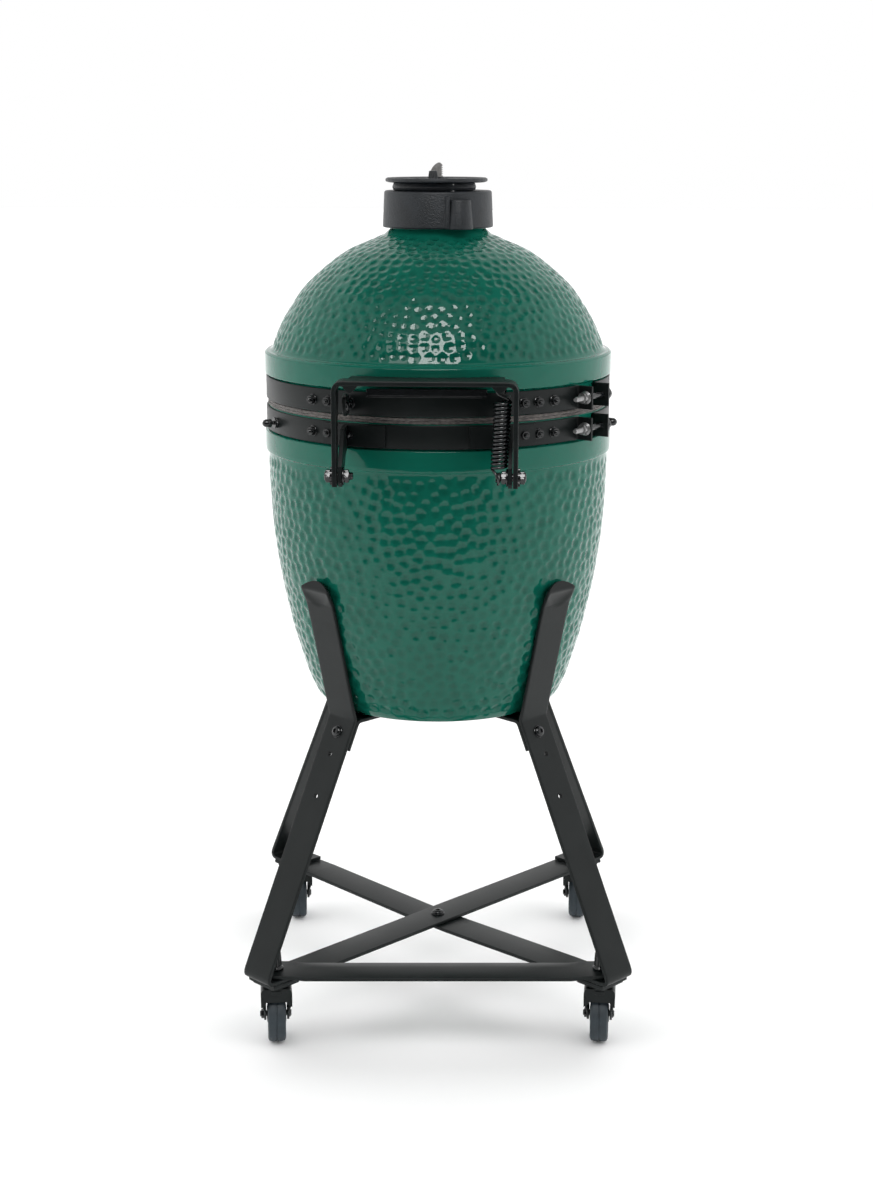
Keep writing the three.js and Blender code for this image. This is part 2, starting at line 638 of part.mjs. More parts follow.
// Strap under the egg from leg to leg; its ends turn down and lie inside the two legs.
function upperCross(angle, drop) {
  const z = EGG_BOTTOM - GAP - STRAP_T / 2;
  const slope = LEG_LEAN.x / -LEG_LEAN.y;
  const corner = 180.9 - (STRAP_T + GAP) * (-LEG_LEAN.y + LEG_LEAN.x * slope) + (432.9 - z) * slope;
  const half = [[corner + (z - 394) * slope, 394], [corner, z]];
  const middle = drop ? [[120, z], [40, z - drop]] : [[30, z]];
  const right = [...half, ...middle];
  const left = right.map(([r, h]) => [-r, h]).reverse();
  const bar = bentBar([...right, ...left], STRAP_W, angle);
  return cut(bar, legHole(4.4, 60, 414.7, angle), legHole(4.4, 60, 414.7, angle + 180));
}

// Flat bar between opposite feet, under the foot plates.
function lowerCross(angle, drop) {
  const z = UNDER_FOOT;
  const middle = drop ? [[250, z], [40, z - drop]] : [[30, z]];
  const right = [[334, z], ...middle];
  const left = right.map(([r, h]) => [-r, h]).reverse();
  const bar = bentBar([...right, ...left], STRAP_W, angle);
  const stems = [angle, angle + 180].map((a) => rod(5.6, 80, 120).translate(...polar(CASTER_R, a), 0));
  return cut(bar, rod(4.4, 80, 110), ...stems);
}

for (const [name, angle] of LEGS) add(`leg_${name}`, leg(angle), blackSteel());
add('upper_cross_strap_a', upperCross(45 + NEST_TURN, 0), blackSteel());
add('upper_cross_strap_b', upperCross(135 + NEST_TURN, STRAP_T + GAP), blackSteel());
add('lower_cross_bar_a', lowerCross(45 + NEST_TURN, 0), blackSteel());
add('lower_cross_bar_b', lowerCross(135 + NEST_TURN, STRAP_T + GAP), blackSteel());

// Bar between the two rear feet, lying on the foot plates.
function sideBar() {
  const z = FOOT_Z + STRAP_T + GAP;
  const y = CASTER_R * Math.SQRT1_2;
  const w = STRAP_W / 2;
  const end = [[219, y + w], [233, y + w - 14], [233, y - w]];
  const bar = extrude(polygon([...end, ...end.map(([x, v]) => [-x, v]).reverse()]), STRAP_T);
  bar.translate(0, 0, z);
  const stems = [45, 135].map((a) => rod(5.6, 90, 120).translate(...polar(CASTER_R, a), 0));
  return cut(bar, ...stems).rotateZ(rad(NEST_TURN));
}
add('rear_side_bar', sideBar(), blackSteel());

add('nest_centre_bolt', join(
  rod(4, 82, 99), rod(8, UNDER_FOOT + STRAP_T / 2 + GAP, UNDER_FOOT + STRAP_T / 2 + 6, SMALL, 5),
  rod(7, 79, 86.7, 6),
), blackSteel());

// ---------------------------------------------------------------- casters
const PLATE_TOP = UNDER_FOOT - STRAP_T / 2 - GAP;
const PLATE_LOW = PLATE_TOP - 3;

// Square plate under the foot, stem and tall cap nut. The plate's race carries the fork.
function casterStem(angle, seat) {
  const plate = block(60, 60, 3, 0, 0, PLATE_TOP - 1.5);
  const stem = rod(5, PLATE_TOP - 1, seat + 10, 12);
  const nut = turned([
    [0, seat], [10.5, seat], [10.5, seat + 3], [8.5, seat + 5], [7, seat + 24], [4.5, seat + 28],
    [0, seat + 28.5],
  ], 12);
  const race = rod(17, PLATE_LOW - 3, PLATE_LOW + 1, 24);
  return join(plate, race, stem, nut).rotateZ(rad(angle)).translate(...polar(CASTER_R, angle), 0);
}

// Fork: folded steel with an arched front, and the axle pressed into its two cheeks.
function fork() {
  const top = PLATE_LOW - 3 - GAP;
  const half = 21;
  const cheek = extrude(polygon([
    [19, top - 4], [19, 64], [9 - AXLE_OFFSET, AXLE_Z - 8], [-AXLE_OFFSET - 8, AXLE_Z - 8],
    [-AXLE_OFFSET - 11, AXLE_Z + 8], [-22, top - 4], [-17, top], [14, top],
  ]), 3);
  cheek.rotateX(Math.PI / 2);
  const left = cheek.clone().translate(0, half, 0);
  const right = cheek.clone().translate(0, -half + 3, 0);
  const roof = block(38, 2 * half, 3, -1, 0, top - 1.5);
  const axle = rod(4, -half - 3, half + 3, 12).rotateX(Math.PI / 2).translate(-AXLE_OFFSET, 0, AXLE_Z);
  return join(left, right, roof, axle);
}

function wheel() {
  const h = WHEEL_W / 2;
  const g = turned([
    [4.6, -h - 3], [12, -h - 3], [12, -h], [33, -h], [WHEEL_R, -h + 5],
    [WHEEL_R, h - 5], [33, h], [12, h], [12, h + 3], [4.6, h + 3],
  ], 20);
  return g.rotateX(Math.PI / 2).translate(-AXLE_OFFSET, 0, AXLE_Z);
}

// Brake pedal: a lever between the cheeks, under the fork's roof and clear of the wheel.
function pedal() {
  const side = polygon([
    [8, 77.3], [8, 81], [-12, 82], [-40, 76.5], [-41, 73.5], [-14, 77.6],
  ].map(([x, z]) => [x - AXLE_OFFSET, z]));
  return extrude(side, 30).rotateX(Math.PI / 2).translate(0, 15, 0);
}

const CASTERS = {
  rear_left: { turn: 99, seat: FOOT_Z + STRAP_T + GAP + STRAP_T + GAP },
  rear_right: { turn: 87, seat: FOOT_Z + STRAP_T + GAP + STRAP_T + GAP },
  front_right: { turn: 87, seat: FOOT_Z + STRAP_T + GAP },
  front_left: { turn: 99, seat: FOOT_Z + STRAP_T + GAP },
};
for (const [name, angle] of LEGS) {
  const { turn, seat } = CASTERS[name];
  const [x, y] = polar(CASTER_R, angle);
  const place = (g) => g.rotateZ(rad(turn)).translate(x, y, 0);
  add(`caster_stem_${name}`, casterStem(angle, seat), blackSteel());
  add(`caster_fork_${name}`, place(fork()), blackSteel());
  add(`caster_wheel_${name}`, place(wheel()), rubber());
  if (name.startsWith('front')) add(`brake_pedal_${name}`, place(pedal()), blackSteel());
}

export default group;
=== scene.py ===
import math

import bmesh
import bpy
import numpy as np
from mathutils import Matrix, Vector, kdtree


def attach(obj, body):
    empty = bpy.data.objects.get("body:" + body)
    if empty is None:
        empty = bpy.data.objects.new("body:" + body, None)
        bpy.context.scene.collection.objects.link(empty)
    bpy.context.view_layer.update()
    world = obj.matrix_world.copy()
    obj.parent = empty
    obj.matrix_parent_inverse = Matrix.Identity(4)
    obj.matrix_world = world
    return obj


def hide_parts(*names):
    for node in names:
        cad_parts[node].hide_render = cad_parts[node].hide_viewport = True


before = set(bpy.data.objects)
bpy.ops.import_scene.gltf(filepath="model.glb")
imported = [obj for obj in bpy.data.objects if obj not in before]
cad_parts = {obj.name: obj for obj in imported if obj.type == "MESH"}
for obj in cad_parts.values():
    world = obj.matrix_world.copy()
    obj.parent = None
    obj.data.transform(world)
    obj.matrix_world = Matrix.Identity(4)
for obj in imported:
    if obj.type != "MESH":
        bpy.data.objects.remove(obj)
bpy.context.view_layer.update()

MM = 0.001
SCENE = bpy.context.scene

# ---- sizes shared with the CAD model
RIM_R = 229.7                     # ceramic radius under the bands
RIM_IN = 206.0
FLANGE_R = 234.4                  # proud flange above the bands
LEDGE_R = 235.0                   # proud ledge below them
BASE_RIM = 846.0
DOME_RIM = 854.0
NECK_R = 64.0
NECK_BORE = 50.0
NECK_TOP = 1117.0
BAND_IN = 230.0
BAND_OUT = 233.0
BAND_H = 30.0
BAND_MID = {"lower": 829.5, "upper": 870.0}
CLAMP_ANGLE = 149.4
CLAMP_HALF = 4.85                 # from the clamp's middle to each bent end of a band
PIVOT_Y = 272.0
PIVOT_Z = 787.0
BAIL_HALF = 112.0                 # to the middle of each hinge arm
BAIL_TOP = 906.0
NEST_TURN = 3.4
GAP = 0.3                         # between pieces that lie on each other
STRAP_W = 50.8
STRAP_T = 5.0
BEND_R = 180.9                    # a leg's bend under the egg, on the leg's middle line
BEND_Z = 432.9
FOOT_R = 344.8                    # the bend into its foot
FOOT_LOW = 98.0
FOOT_MID = FOOT_LOW + STRAP_T / 2
CASTER_R = 308.3
AXLE = (-14.0, 37.5)
LEAN = Vector((FOOT_R - BEND_R, FOOT_LOW - BEND_Z)).normalized()    # a leg's lower part
SLOPE = LEAN.x / -LEAN.y          # how far it leads out for each millimetre down
CORNERS = {"rear_left": 45 + NEST_TURN, "rear_right": 135 + NEST_TURN,
           "front_right": 225 + NEST_TURN, "front_left": 315 + NEST_TURN}
CASTER_TURN = {"left": 99, "right": 87}
CAP_TOP = 1127.0                  # upper edge of the vent cap's collar
DAISY_Z = 1137.6
DAISY_X = 2.0
GAUGE = (0.0, -178.0, 1002.5)
GAUGE_TILT = 48.5
SIDES = (("left", 1), ("right", -1))


# ---- forms
class Form:
    """Points and faces of a shape. paint says which of its piece's materials each face takes."""

    def __init__(self, points, faces, paint=None):
        self.points = np.asarray(points, float).reshape(-1, 3)
        self.faces = [tuple(face) for face in faces]
        self.paint = paint or [0] * len(self.faces)

    def moved(self, *steps):
        """Each matrix acts in turn, the first one first."""
        whole = Matrix.Identity(4)
        for step in steps:
            whole = step @ whole
        m = np.array(whole)
        return Form(self.points @ m[:3, :3].T + m[:3, 3], self.faces, self.paint)

    def lifted(self, z):
        return self.moved(shift(z=z))

    def painted(self, index):
        return Form(self.points, self.faces, [index] * len(self.faces))

    def __add__(self, other):
        start = len(self.points)
        shifted = [tuple(i + start for i in face) for face in other.faces]
        return Form(np.vstack([self.points, other.points]), self.faces + shifted,
                    self.paint + other.paint)


def shift(x=0.0, y=0.0, z=0.0):
    return Matrix.Translation((x, y, z))


def turn(angle, axis="Z"):
    return Matrix.Rotation(math.radians(angle), 4, axis)


def polar(radius, angle, z=0.0):
    a = math.radians(angle)
    return Vector((radius * math.cos(a), radius * math.sin(a), z))


def facing(point, direction):
    """Moves a form built upright at the origin to point, with its top towards direction."""
    return Matrix.Translation(point) @ Vector(direction).to_track_quat("Z", "Y").to_matrix().to_4x4()


def upright(angle):
    """Plane through +Z at an angle: a path's (radius, height), its width across."""
    out = polar(1, angle)
    up = Vector((0, 0, 1))
    return Matrix((out, up, out.cross(up))).transposed().to_4x4()


SIDE_VIEW = Matrix(((0, 0, 1), (1, 0, 0), (0, 1, 0))).to_4x4()      # outline (y, z), thick along x
BACK_VIEW = Matrix(((1, 0, 0), (0, 0, 1), (0, 1, 0))).to_4x4()      # outline (x, z), thick along y


def smooth_curve(points, steps):
    """Catmull-Rom curve through the points, ends included."""
    p = [np.array(q, float) for q in points]
    out = []
    for k in range(steps + 1):
        place = (len(p) - 1) * k / steps
        i = min(int(place), len(p) - 2)
        t = place - i
        before, a, b, after = p[max(i - 1, 0)], p[i], p[i + 1], p[min(i + 2, len(p) - 1)]
        v0, v1 = (b - before) / 2, (after - a) / 2
        out.append((2 * a - 2 * b + v0 + v1) * t ** 3 + (3 * b - 3 * a - 2 * v0 - v1) * t ** 2
                   + v0 * t + a)
    return np.array(out)


def evenly(line, step):
    """The same line with points about a step apart."""
    line = np.array(line, float)
    length = np.r_[0, np.cumsum(np.linalg.norm(np.diff(line, axis=0), axis=1))]
    at = np.linspace(0, length[-1], max(2, round(length[-1] / step) + 1))
    return np.column_stack([np.interp(at, length, line[:, k]) for k in range(line.shape[1])])


def finer(path, step):
    """The path with points put in about a step apart. It keeps its own points."""
    return [p for a, b in zip(path, path[1:]) for p in evenly([a, b], step)[:-1]] + [path[-1]]


def soften(points, radius, steps=4, closed=False):
    """Rounds each corner of a line, or of a closed outline."""
    p = [Vector(q) for q in points]
    count = len(p)
    out = [] if closed else [p[0]]
    for i in range(count) if closed else range(1, count - 1):
        back, ahead = p[i - 1] - p[i], p[(i + 1) % count] - p[i]
        half = back.angle(ahead) / 2
        reach = min(radius / max(math.tan(half), 1e-6), back.length / 2.1, ahead.length / 2.1)
        if reach < 0.02:
            out.append(p[i])
            continue
        a, b = p[i] + back.normalized() * reach, p[i] + ahead.normalized() * reach
        for k in range(steps + 1):
            t = k / steps
            out.append(a * (1 - t) ** 2 + p[i] * 2 * t * (1 - t) + b * t * t)
    return out if closed else out + [p[-1]]


def arc(radius, start, end, step=3.0):
    count = max(2, math.ceil(abs(end - start) / step))
    return [polar(radius, start + (end - start) * k / count).to_2d() for k in range(count + 1)]


def sector(inner, outer, first, last, step=3.0, inner_step=6.0):
    """Outline of a piece of a flat ring."""
    return [*arc(outer, first, last, step), *reversed(arc(inner, first, last, inner_step))]


def lathe(profile, sides=96, wave=None):
    """Turns a profile of (radius, height, own number of columns) about Z. It closes on itself, or
    ends on the axis. wave(angle in radians, height) scales the radius."""
    rings, points = [], []
    for radius, z, *own in profile:
        count = 1 if radius == 0 else int(own[0]) if own else sides
        a = 2 * np.pi * np.arange(count) / count
        r = radius * (wave(a, z) if wave else 1)
        rings.append(range(len(points), len(points) + count))
        points.extend(zip(r * np.cos(a), r * np.sin(a), np.full(count, z)))
    pairs = list(zip(rings, rings[1:]))
    if profile[0][0] or profile[-1][0]:
        pairs.append((rings[-1], rings[0]))
    faces = []
    for one, two in pairs:
        few, many = sorted((one, two), key=len)
        ratio = len(many) // len(few)
        for i in range(len(few)):
            span = [many[(i * ratio + k) % len(many)] for k in range(ratio + 1)]
            if len(few) == 1:
                faces += [(few[0], a, b) for a, b in zip(span, span[1:])]
            else:
                faces.append((few[i], few[(i + 1) % len(few)], *reversed(span)))
    return Form(points, faces)


def turned(profile, soft, sides=96, wave=None, steps=4):
    """Lathe with the profile's corners rounded. A profile that starts off the axis is closed."""
    return lathe(soften(profile, soft, steps, bool(profile[0][0])), sides, wave)


def rod(radius, low, high, sides=32):
    return lathe([(0, low), (radius, low), (radius, high), (0, high)], sides)


def skinned(points, size):
    """Form through equal rings of points along a line, with a flat face at each end."""
    rings = [range(start, start + size) for start in range(0, len(points), size)]
    faces = [(a[k], a[(k + 1) % size], b[(k + 1) % size], b[k])
             for a, b in zip(rings, rings[1:]) for k in range(size)]
    return Form(points, [*faces, tuple(rings[0]), tuple(reversed(rings[-1]))])


def bar(path, width, thickness, edge=0.8, lift=None, across=1, middle=0.0):
    """Flat bar along a plane path, in the path's plane and with its width along the third axis.
    width and middle are numbers or functions of a path point. lift(point, side) raises the faces."""
    half_t = thickness / 2
    quarter = [math.radians(a) for a in (0, 30, 60, 90)]
    soft = [(edge * (1 - math.sin(a)), half_t - edge * (1 - math.cos(a))) for a in quarter]
    inner = np.linspace(-1, 1, across + 1)[1:-1]
    section = [(t, 0, half_t) for t in inner]
    section += [(1, d, n) for d, n in soft] + [(1, d, -n) for d, n in reversed(soft)]
    section += [(t, 0, -half_t) for t in reversed(inner)]
    section += [(-1, d, -n) for d, n in soft] + [(-1, d, n) for d, n in reversed(soft)]
    line = [Vector(p).to_2d() for p in path]
    points = []
    for i, p in enumerate(line):
        along = (line[min(i + 1, len(line) - 1)] - line[max(i - 1, 0)]).normalized()
        normal = Vector((-along.y, along.x))
        half = (width(p) if callable(width) else width) / 2
        centre = middle(p) if callable(middle) else middle
        for side, d, n in section:
            q = p + normal * (n + (lift(p, side) if lift else 0))
            points.append((q.x, q.y, centre + side * (half - min(d, half * 0.9))))
    return skinned(points, len(section))


def prism(outline, low, high):
    """Extrudes a closed outline along the third axis."""
    n = len(outline)
    points = [(p[0], p[1], z) for z in (low, high) for p in outline]
    sides = [(i, (i + 1) % n, n + (i + 1) % n, n + i) for i in range(n)]
    return Form(points, [tuple(range(n)), tuple(range(n, 2 * n)), *sides])


def wire(points, radius, sides=10):
    """Round wire along a line, closed at both ends."""
    line = np.array(points, float)
    along = np.gradient(line, axis=0)
    along /= np.linalg.norm(along, axis=1)[:, None]
    normal = np.cross(along[0], (0.3, 0.5, 0.8))
    skin = []
    for p, t in zip(line, along):
        normal = normal - t * normal.dot(t)
        normal /= np.linalg.norm(normal)
        other = np.cross(t, normal)
        for k in range(sides):
            a = 2 * math.pi * k / sides
            skin.append(p + radius * (normal * math.cos(a) + other * math.sin(a)))
    return skinned(skin, sides)


def nut(apothem, height, sides=36):
    """Hexagon nut with turned corners."""
    corner = apothem / math.cos(math.radians(30))
    levels = [(0, 0), (apothem * 1.02, 0), (corner, height * 0.14), (corner, height * 0.86),
              (apothem * 1.02, height), (0, height)]
    form = lathe(levels, sides)
    radius = np.hypot(form.points[:, 0], form.points[:, 1])
    angle = np.degrees(np.arctan2(form.points[:, 1], form.points[:, 0])) % 60 - 30
    limit = apothem / np.cos(np.radians(angle))
    scale = np.minimum(1, limit / np.maximum(radius, 1e-6))
    form.points[:, :2] *= scale[:, None]
    return form


def washer(radius, height, sides=40):
    edge = height * 0.3
    return lathe([(0, 0), (radius - edge, 0), (radius, edge), (radius, height - edge),
                  (radius - edge, height), (0, height)], sides)


def thread(radius, low, high, pitch=1.25, sides=20):
    """Threaded end of a bolt, with a chamfer at its top."""
    turns = int((high - low) / pitch)
    ridges = [(radius - (0.35 if k % 2 else 0), low + pitch * k / 2) for k in range(2 * turns)]
    return lathe([(0, low), *ridges, (radius - 0.9, high), (0, high)], sides)


def button_head(radius, height):
    """Domed screw head with a round socket."""
    crown = [(radius * math.cos(a), height * (0.25 + 0.75 * math.sin(a)))
             for a in np.radians([0, 20, 40, 55, 66])]
    socket = radius * 0.4
    return lathe([(0, 0), (radius, 0), *crown, (socket, height * 0.9), (socket * 0.9, height * 0.45),
                  (0, height * 0.4)], 32)


def nut_on_stud(apothem, nut_height, stud, length):
    """Nut and washer, and the thread's end standing out of them."""
    return (washer(apothem * 1.35, 1.4) + nut(apothem, nut_height).lifted(1.4)
            + thread(stud, nut_height, length, 1.2, 16))


# ---- finishes
def finish(name, color, roughness, metallic=0.0, **sockets):
    """Material with one Principled shader. Sockets are set directly on the shader."""
    mat = bpy.data.materials.new(name)
    mat.use_nodes = True
    shader = mat.node_tree.nodes["Principled BSDF"]
    shader.inputs["Base Color"].default_value = (*color, 1)
    shader.inputs["Roughness"].default_value = roughness
    shader.inputs["Metallic"].default_value = metallic
    for key, value in sockets.items():
        shader.inputs[key.replace("_", " ")].default_value = value
    mat.diffuse_color = (*color, 1)
    return mat, mat.node_tree, shader


def feed(tree, socket, value):
    """Links a socket to another node's output, or sets it to a number, vector or colour."""
    if isinstance(value, bpy.types.NodeSocket):
        tree.links.new(value, socket)
    else:
        socket.default_value = value


def node(tree, kind, **inputs):
    """New node with its inputs fed. In an input's name an underscore stands for a space."""
    made = tree.nodes.new(kind)
    for key, value in inputs.items():
        feed(tree, made.inputs[key.replace("_", " ")], value)
    return made


def noise(tree, scale, detail=3.0, stretch=None):
    """Noise in the object's own coordinates, in metres. stretch scales its three axes."""
    where = tree.nodes.new("ShaderNodeTexCoord").outputs["Object"]
    if stretch:
        where = node(tree, "ShaderNodeMapping", Vector=where, Scale=stretch).outputs["Vector"]
    return node(tree, "ShaderNodeTexNoise", Vector=where, Scale=scale, Detail=detail).outputs["Fac"]


def ramp(tree, source, *stops):
    """Colour ramp from (place, colour) stops."""
    made = node(tree, "ShaderNodeValToRGB", Fac=source)
    for k, (place, color) in enumerate(stops):
        stop = made.color_ramp.elements[k] if k < 2 else made.color_ramp.elements.new(place)
        stop.position = place
        stop.color = (*color, 1)
    return made.outputs["Color"]


def spread(tree, source, low, high):
    return node(tree, "ShaderNodeMapRange", Value=source, To_Min=low, To_Max=high).outputs["Result"]


def mixed(tree, blend, factor, one, two):
    """Mixes two colours."""
    made = tree.nodes.new("ShaderNodeMix")
    made.data_type = "RGBA"
    made.blend_type = blend
    for index, value in ((0, factor), (6, one), (7, two)):
        feed(tree, made.inputs[index], value)
    return made.outputs[2]


def bump(tree, shader, source, strength, distance):
    made = node(tree, "ShaderNodeBump", Strength=strength, Distance=distance, Height=source)
    tree.links.new(made.outputs["Normal"], shader.inputs["Normal"])


def shaded(mat, tree, shader, scale, colors, rough=None, relief=None, stretch=None):
    """Colour and roughness that vary with one noise, and a relief from a finer one."""
    source = noise(tree, scale, 4, stretch)
    tree.links.new(ramp(tree, source, *zip((0.3, 0.7), colors)), shader.inputs["Base Color"])
    if rough:
        tree.links.new(spread(tree, source, *rough), shader.inputs["Roughness"])
    if relief:
        fine, strength, distance = relief
        bump(tree, shader, noise(tree, fine, 3, stretch), strength, distance)
    return mat


def glaze():
    """Green glass glaze: darker in the dents as painted shade, lighter on the webs between them."""
    mat, tree, shader = finish("green_glaze", (0.004, 0.10, 0.067), 0.07, Specular_IOR_Level=0.3)
    dent = tree.nodes.new("ShaderNodeAttribute")
    dent.attribute_name = "dent"
    # Painted shade: the deeper a point lies in its dent, the darker its green.
    body = ramp(tree, dent.outputs["Fac"],
                (0.0, (0.0046, 0.120, 0.081)), (1.0, (0.0032, 0.090, 0.061)))
    cloud = ramp(tree, noise(tree, 22), (0.3, (0.86, 0.88, 0.88)), (0.7, (1.0, 1.0, 1.0)))
    tree.links.new(mixed(tree, "MULTIPLY", 1, body, cloud), shader.inputs["Base Color"])
    tree.links.new(spread(tree, noise(tree, 60, 2), 0.03, 0.07), shader.inputs["Roughness"])
    bump(tree, shader, noise(tree, 110, 2), 0.22, 0.0006)
    return mat


def bisque():
    """Unglazed ceramic of the egg's inside."""
    return shaded(*finish("bisque", (0.42, 0.36, 0.28), 0.85), 30,
                  ((0.36, 0.30, 0.23), (0.48, 0.42, 0.34)), (0.75, 0.95), (900, 0.3, 0.0004))


def powder_coat():
    """Satin black powder coat with a fine orange peel."""
    return shaded(*finish("powder_coat", (0.008, 0.011, 0.011), 0.4, Specular_IOR_Level=0.21), 18,
                  ((0.006, 0.0086, 0.0086), (0.0095, 0.0125, 0.0125)), (0.3, 0.42), (850, 0.35, 0.00025))


def glossy_black():
    """Black oxide of the small bolts and the spring."""
    return shaded(*finish("black_oxide", (0.006, 0.008, 0.009), 0.2, Specular_IOR_Level=0.55), 300,
                  ((0.004, 0.005, 0.006), (0.008, 0.010, 0.011)), (0.14, 0.26), (1500, 0.15, 0.0001))


def cast_iron():
    """Coated sand casting: coarse grain and a slight blue cast."""
    return shaded(*finish("sand_cast", (0.012, 0.017, 0.022), 0.45, Specular_IOR_Level=0.4), 55,
                  ((0.009, 0.0125, 0.016), (0.016, 0.021, 0.027)), (0.34, 0.5), (620, 0.9, 0.0007))


def zinc():
    return shaded(*finish("zinc", (0.36, 0.36, 0.36), 0.28, 0.95), 500,
                  ((0.26, 0.26, 0.26), (0.42, 0.42, 0.42)), (0.22, 0.4), (1200, 0.2, 0.0001))


def worn_cast():
    """Grey tumbled metal of the cap's lifting fin."""
    return shaded(*finish("worn_cast", (0.27, 0.26, 0.255), 0.5, 0.3), 300,
                  ((0.21, 0.205, 0.20), (0.33, 0.32, 0.31)), (0.42, 0.6), (900, 0.4, 0.0002))


def stainless():
    """Sheet brushed along the horizontal."""
    return shaded(*finish("brushed_steel", (0.52, 0.52, 0.50), 0.3, 1.0), 60,
                  ((0.46, 0.46, 0.44), (0.56, 0.56, 0.54)), (0.24, 0.38), (70, 0.25, 0.0001),
                  (1, 1, 30))


def felt():
    """Dense brownish grey felt with short fibres."""
    return shaded(*finish("wool_felt", (0.15, 0.125, 0.11), 0.95, Sheen_Weight=0.3), 160,
                  ((0.045, 0.039, 0.036), (0.18, 0.162, 0.150)), (0.85, 1.0), (700, 0.9, 0.0012),
                  (1, 1, 2.5))


def fireclay():
    return shaded(*finish("fired_clay", (0.5, 0.40, 0.29), 0.9), 45,
                  ((0.40, 0.31, 0.22), (0.58, 0.48, 0.36)), (0.82, 0.98), (600, 0.5, 0.0006))


def rubber():
    return shaded(*finish("tread_rubber", (0.02, 0.027, 0.034), 0.6), 90,
                  ((0.016, 0.026, 0.034), (0.028, 0.042, 0.052)), (0.5, 0.7), (800, 0.3, 0.0002))


def hub_plastic():
    return shaded(*finish("hub_plastic", (0.05, 0.06, 0.068), 0.45), 120,
                  ((0.042, 0.051, 0.058), (0.06, 0.071, 0.08)), (0.38, 0.55), (900, 0.2, 0.0002))


def timber():
    """Oiled hardwood with its grain along the grip."""
    return shaded(*finish("oiled_timber", (0.27, 0.13, 0.055), 0.45), 24,
                  ((0.15, 0.062, 0.024), (0.36, 0.185, 0.08)), (0.36, 0.55), (160, 0.25, 0.0004),
                  (0.35, 6, 6))


def dial_white():
    return shaded(*finish("dial_white", (0.8, 0.8, 0.77), 0.5), 200,
                  ((0.78, 0.78, 0.75), (0.82, 0.82, 0.79)), (0.45, 0.55))


def dial_ink():
    return shaded(*finish("dial_ink", (0.02, 0.02, 0.02), 0.5), 200,
                  ((0.018, 0.018, 0.018), (0.025, 0.025, 0.025)), (0.45, 0.55))


def red_enamel():
    return shaded(*finish("red_enamel", (0.45, 0.02, 0.012), 0.3), 300,
                  ((0.42, 0.018, 0.01), (0.48, 0.024, 0.014)), (0.25, 0.35))


def lens_glass():
    mat, tree, shader = finish("lens_glass", (0.95, 0.98, 0.98), 0.03, IOR=1.5,
                               Transmission_Weight=1.0)
    tree.links.new(spread(tree, noise(tree, 90, 2), 0.02, 0.05), shader.inputs["Roughness"])
    return mat


GLAZE, BISQUE, POWDER, OXIDE, CAST = glaze(), bisque(), powder_coat(), glossy_black(), cast_iron()
ZINC, FIN, STAINLESS, FELT, CLAY = zinc(), worn_cast(), stainless(), felt(), fireclay()
RUBBER, HUB, TIMBER, DIAL, INK = rubber(), hub_plastic(), timber(), dial_white(), dial_ink()
RED, LENS = red_enamel(), lens_glass()


# ---- pieces
def in_scene(name, data):
    obj = bpy.data.objects.new(name, data)
    SCENE.collection.objects.link(obj)
    return obj


def mesh_object(name, form, materials):
    """Closed mesh in metres, its faces outward."""
    mesh = bpy.data.meshes.new(name)
    mesh.from_pydata((form.points * MM).tolist(), [], form.faces)
    for mat in materials:
        mesh.materials.append(mat)
    mesh.polygons.foreach_set("material_index", form.paint)
    work = bmesh.new()
    work.from_mesh(mesh)
    bmesh.ops.recalc_face_normals(work, faces=work.faces)
    work.to_mesh(mesh)
    work.free()
    return in_scene(name, mesh)


def bevel(obj, width, segments=2, angle=32):
    step = obj.modifiers.new("edges", "BEVEL")
    step.width = width * MM
    step.segments = segments
    step.limit_method = "ANGLE"
    step.angle_limit = math.radians(angle)
    step.use_clamp_overlap = True


def shade(obj, angle=38):
    obj.data.shade_smooth()
    obj.data.set_sharp_from_angle(angle=math.radians(angle))


def add(name, form, materials, body, nodes=(), edge=0.0, joins=(), cuts=(), sharp=38):
    """Makes a piece, lets it ride on a CAD body and hides the CAD nodes that it stands for. Other
    forms are joined to it and then cut out of it, and edge is the width of its softened edges."""
    materials = materials if isinstance(materials, (list, tuple)) else [materials]
    obj = mesh_object(name, form, materials)
    for forms, operation in ((joins, "UNION"), (cuts, "DIFFERENCE")):
        if forms:
            combine(obj, forms, operation)
    shade(obj, sharp)
    if edge:
        bevel(obj, edge)
    settle(obj, body, nodes)


def settle(obj, body, nodes):
    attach(obj, body)
    if nodes:
        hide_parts(*([nodes] if isinstance(nodes, str) else nodes))


def combine(obj, forms, operation, solver="EXACT"):
    """Cuts forms away from a piece, or joins them to it. The piece keeps its materials."""
    tools = [mesh_object("tool", form, list(obj.data.materials)) for form in forms]
    for tool in tools:
        step = obj.modifiers.new("combine", "BOOLEAN")
        step.object = tool
        step.operation = operation
        step.solver = solver
    bpy.context.view_layer.update()
    mesh = bpy.data.meshes.new_from_object(obj.evaluated_get(bpy.context.evaluated_depsgraph_get()))
    obj.modifiers.clear()
    obj.data = mesh
    for tool in tools:
        bpy.data.objects.remove(tool)


def refined(name, node_name, material, body, edge):
    """A CAD node's own shape, with its flat faces made whole and its edges softened."""
    work = bmesh.new()
    work.from_mesh(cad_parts[node_name].data)
    bmesh.ops.remove_doubles(work, verts=work.verts, dist=0.00001)
    bmesh.ops.dissolve_limit(work, angle_limit=math.radians(1.5), verts=work.verts, edges=work.edges)
    mesh = bpy.data.meshes.new(name)
    work.to_mesh(mesh)
    work.free()
    mesh.materials.append(material)
    obj = in_scene(name, mesh)
    shade(obj, 34)
    bevel(obj, edge)
    settle(obj, body, node_name)


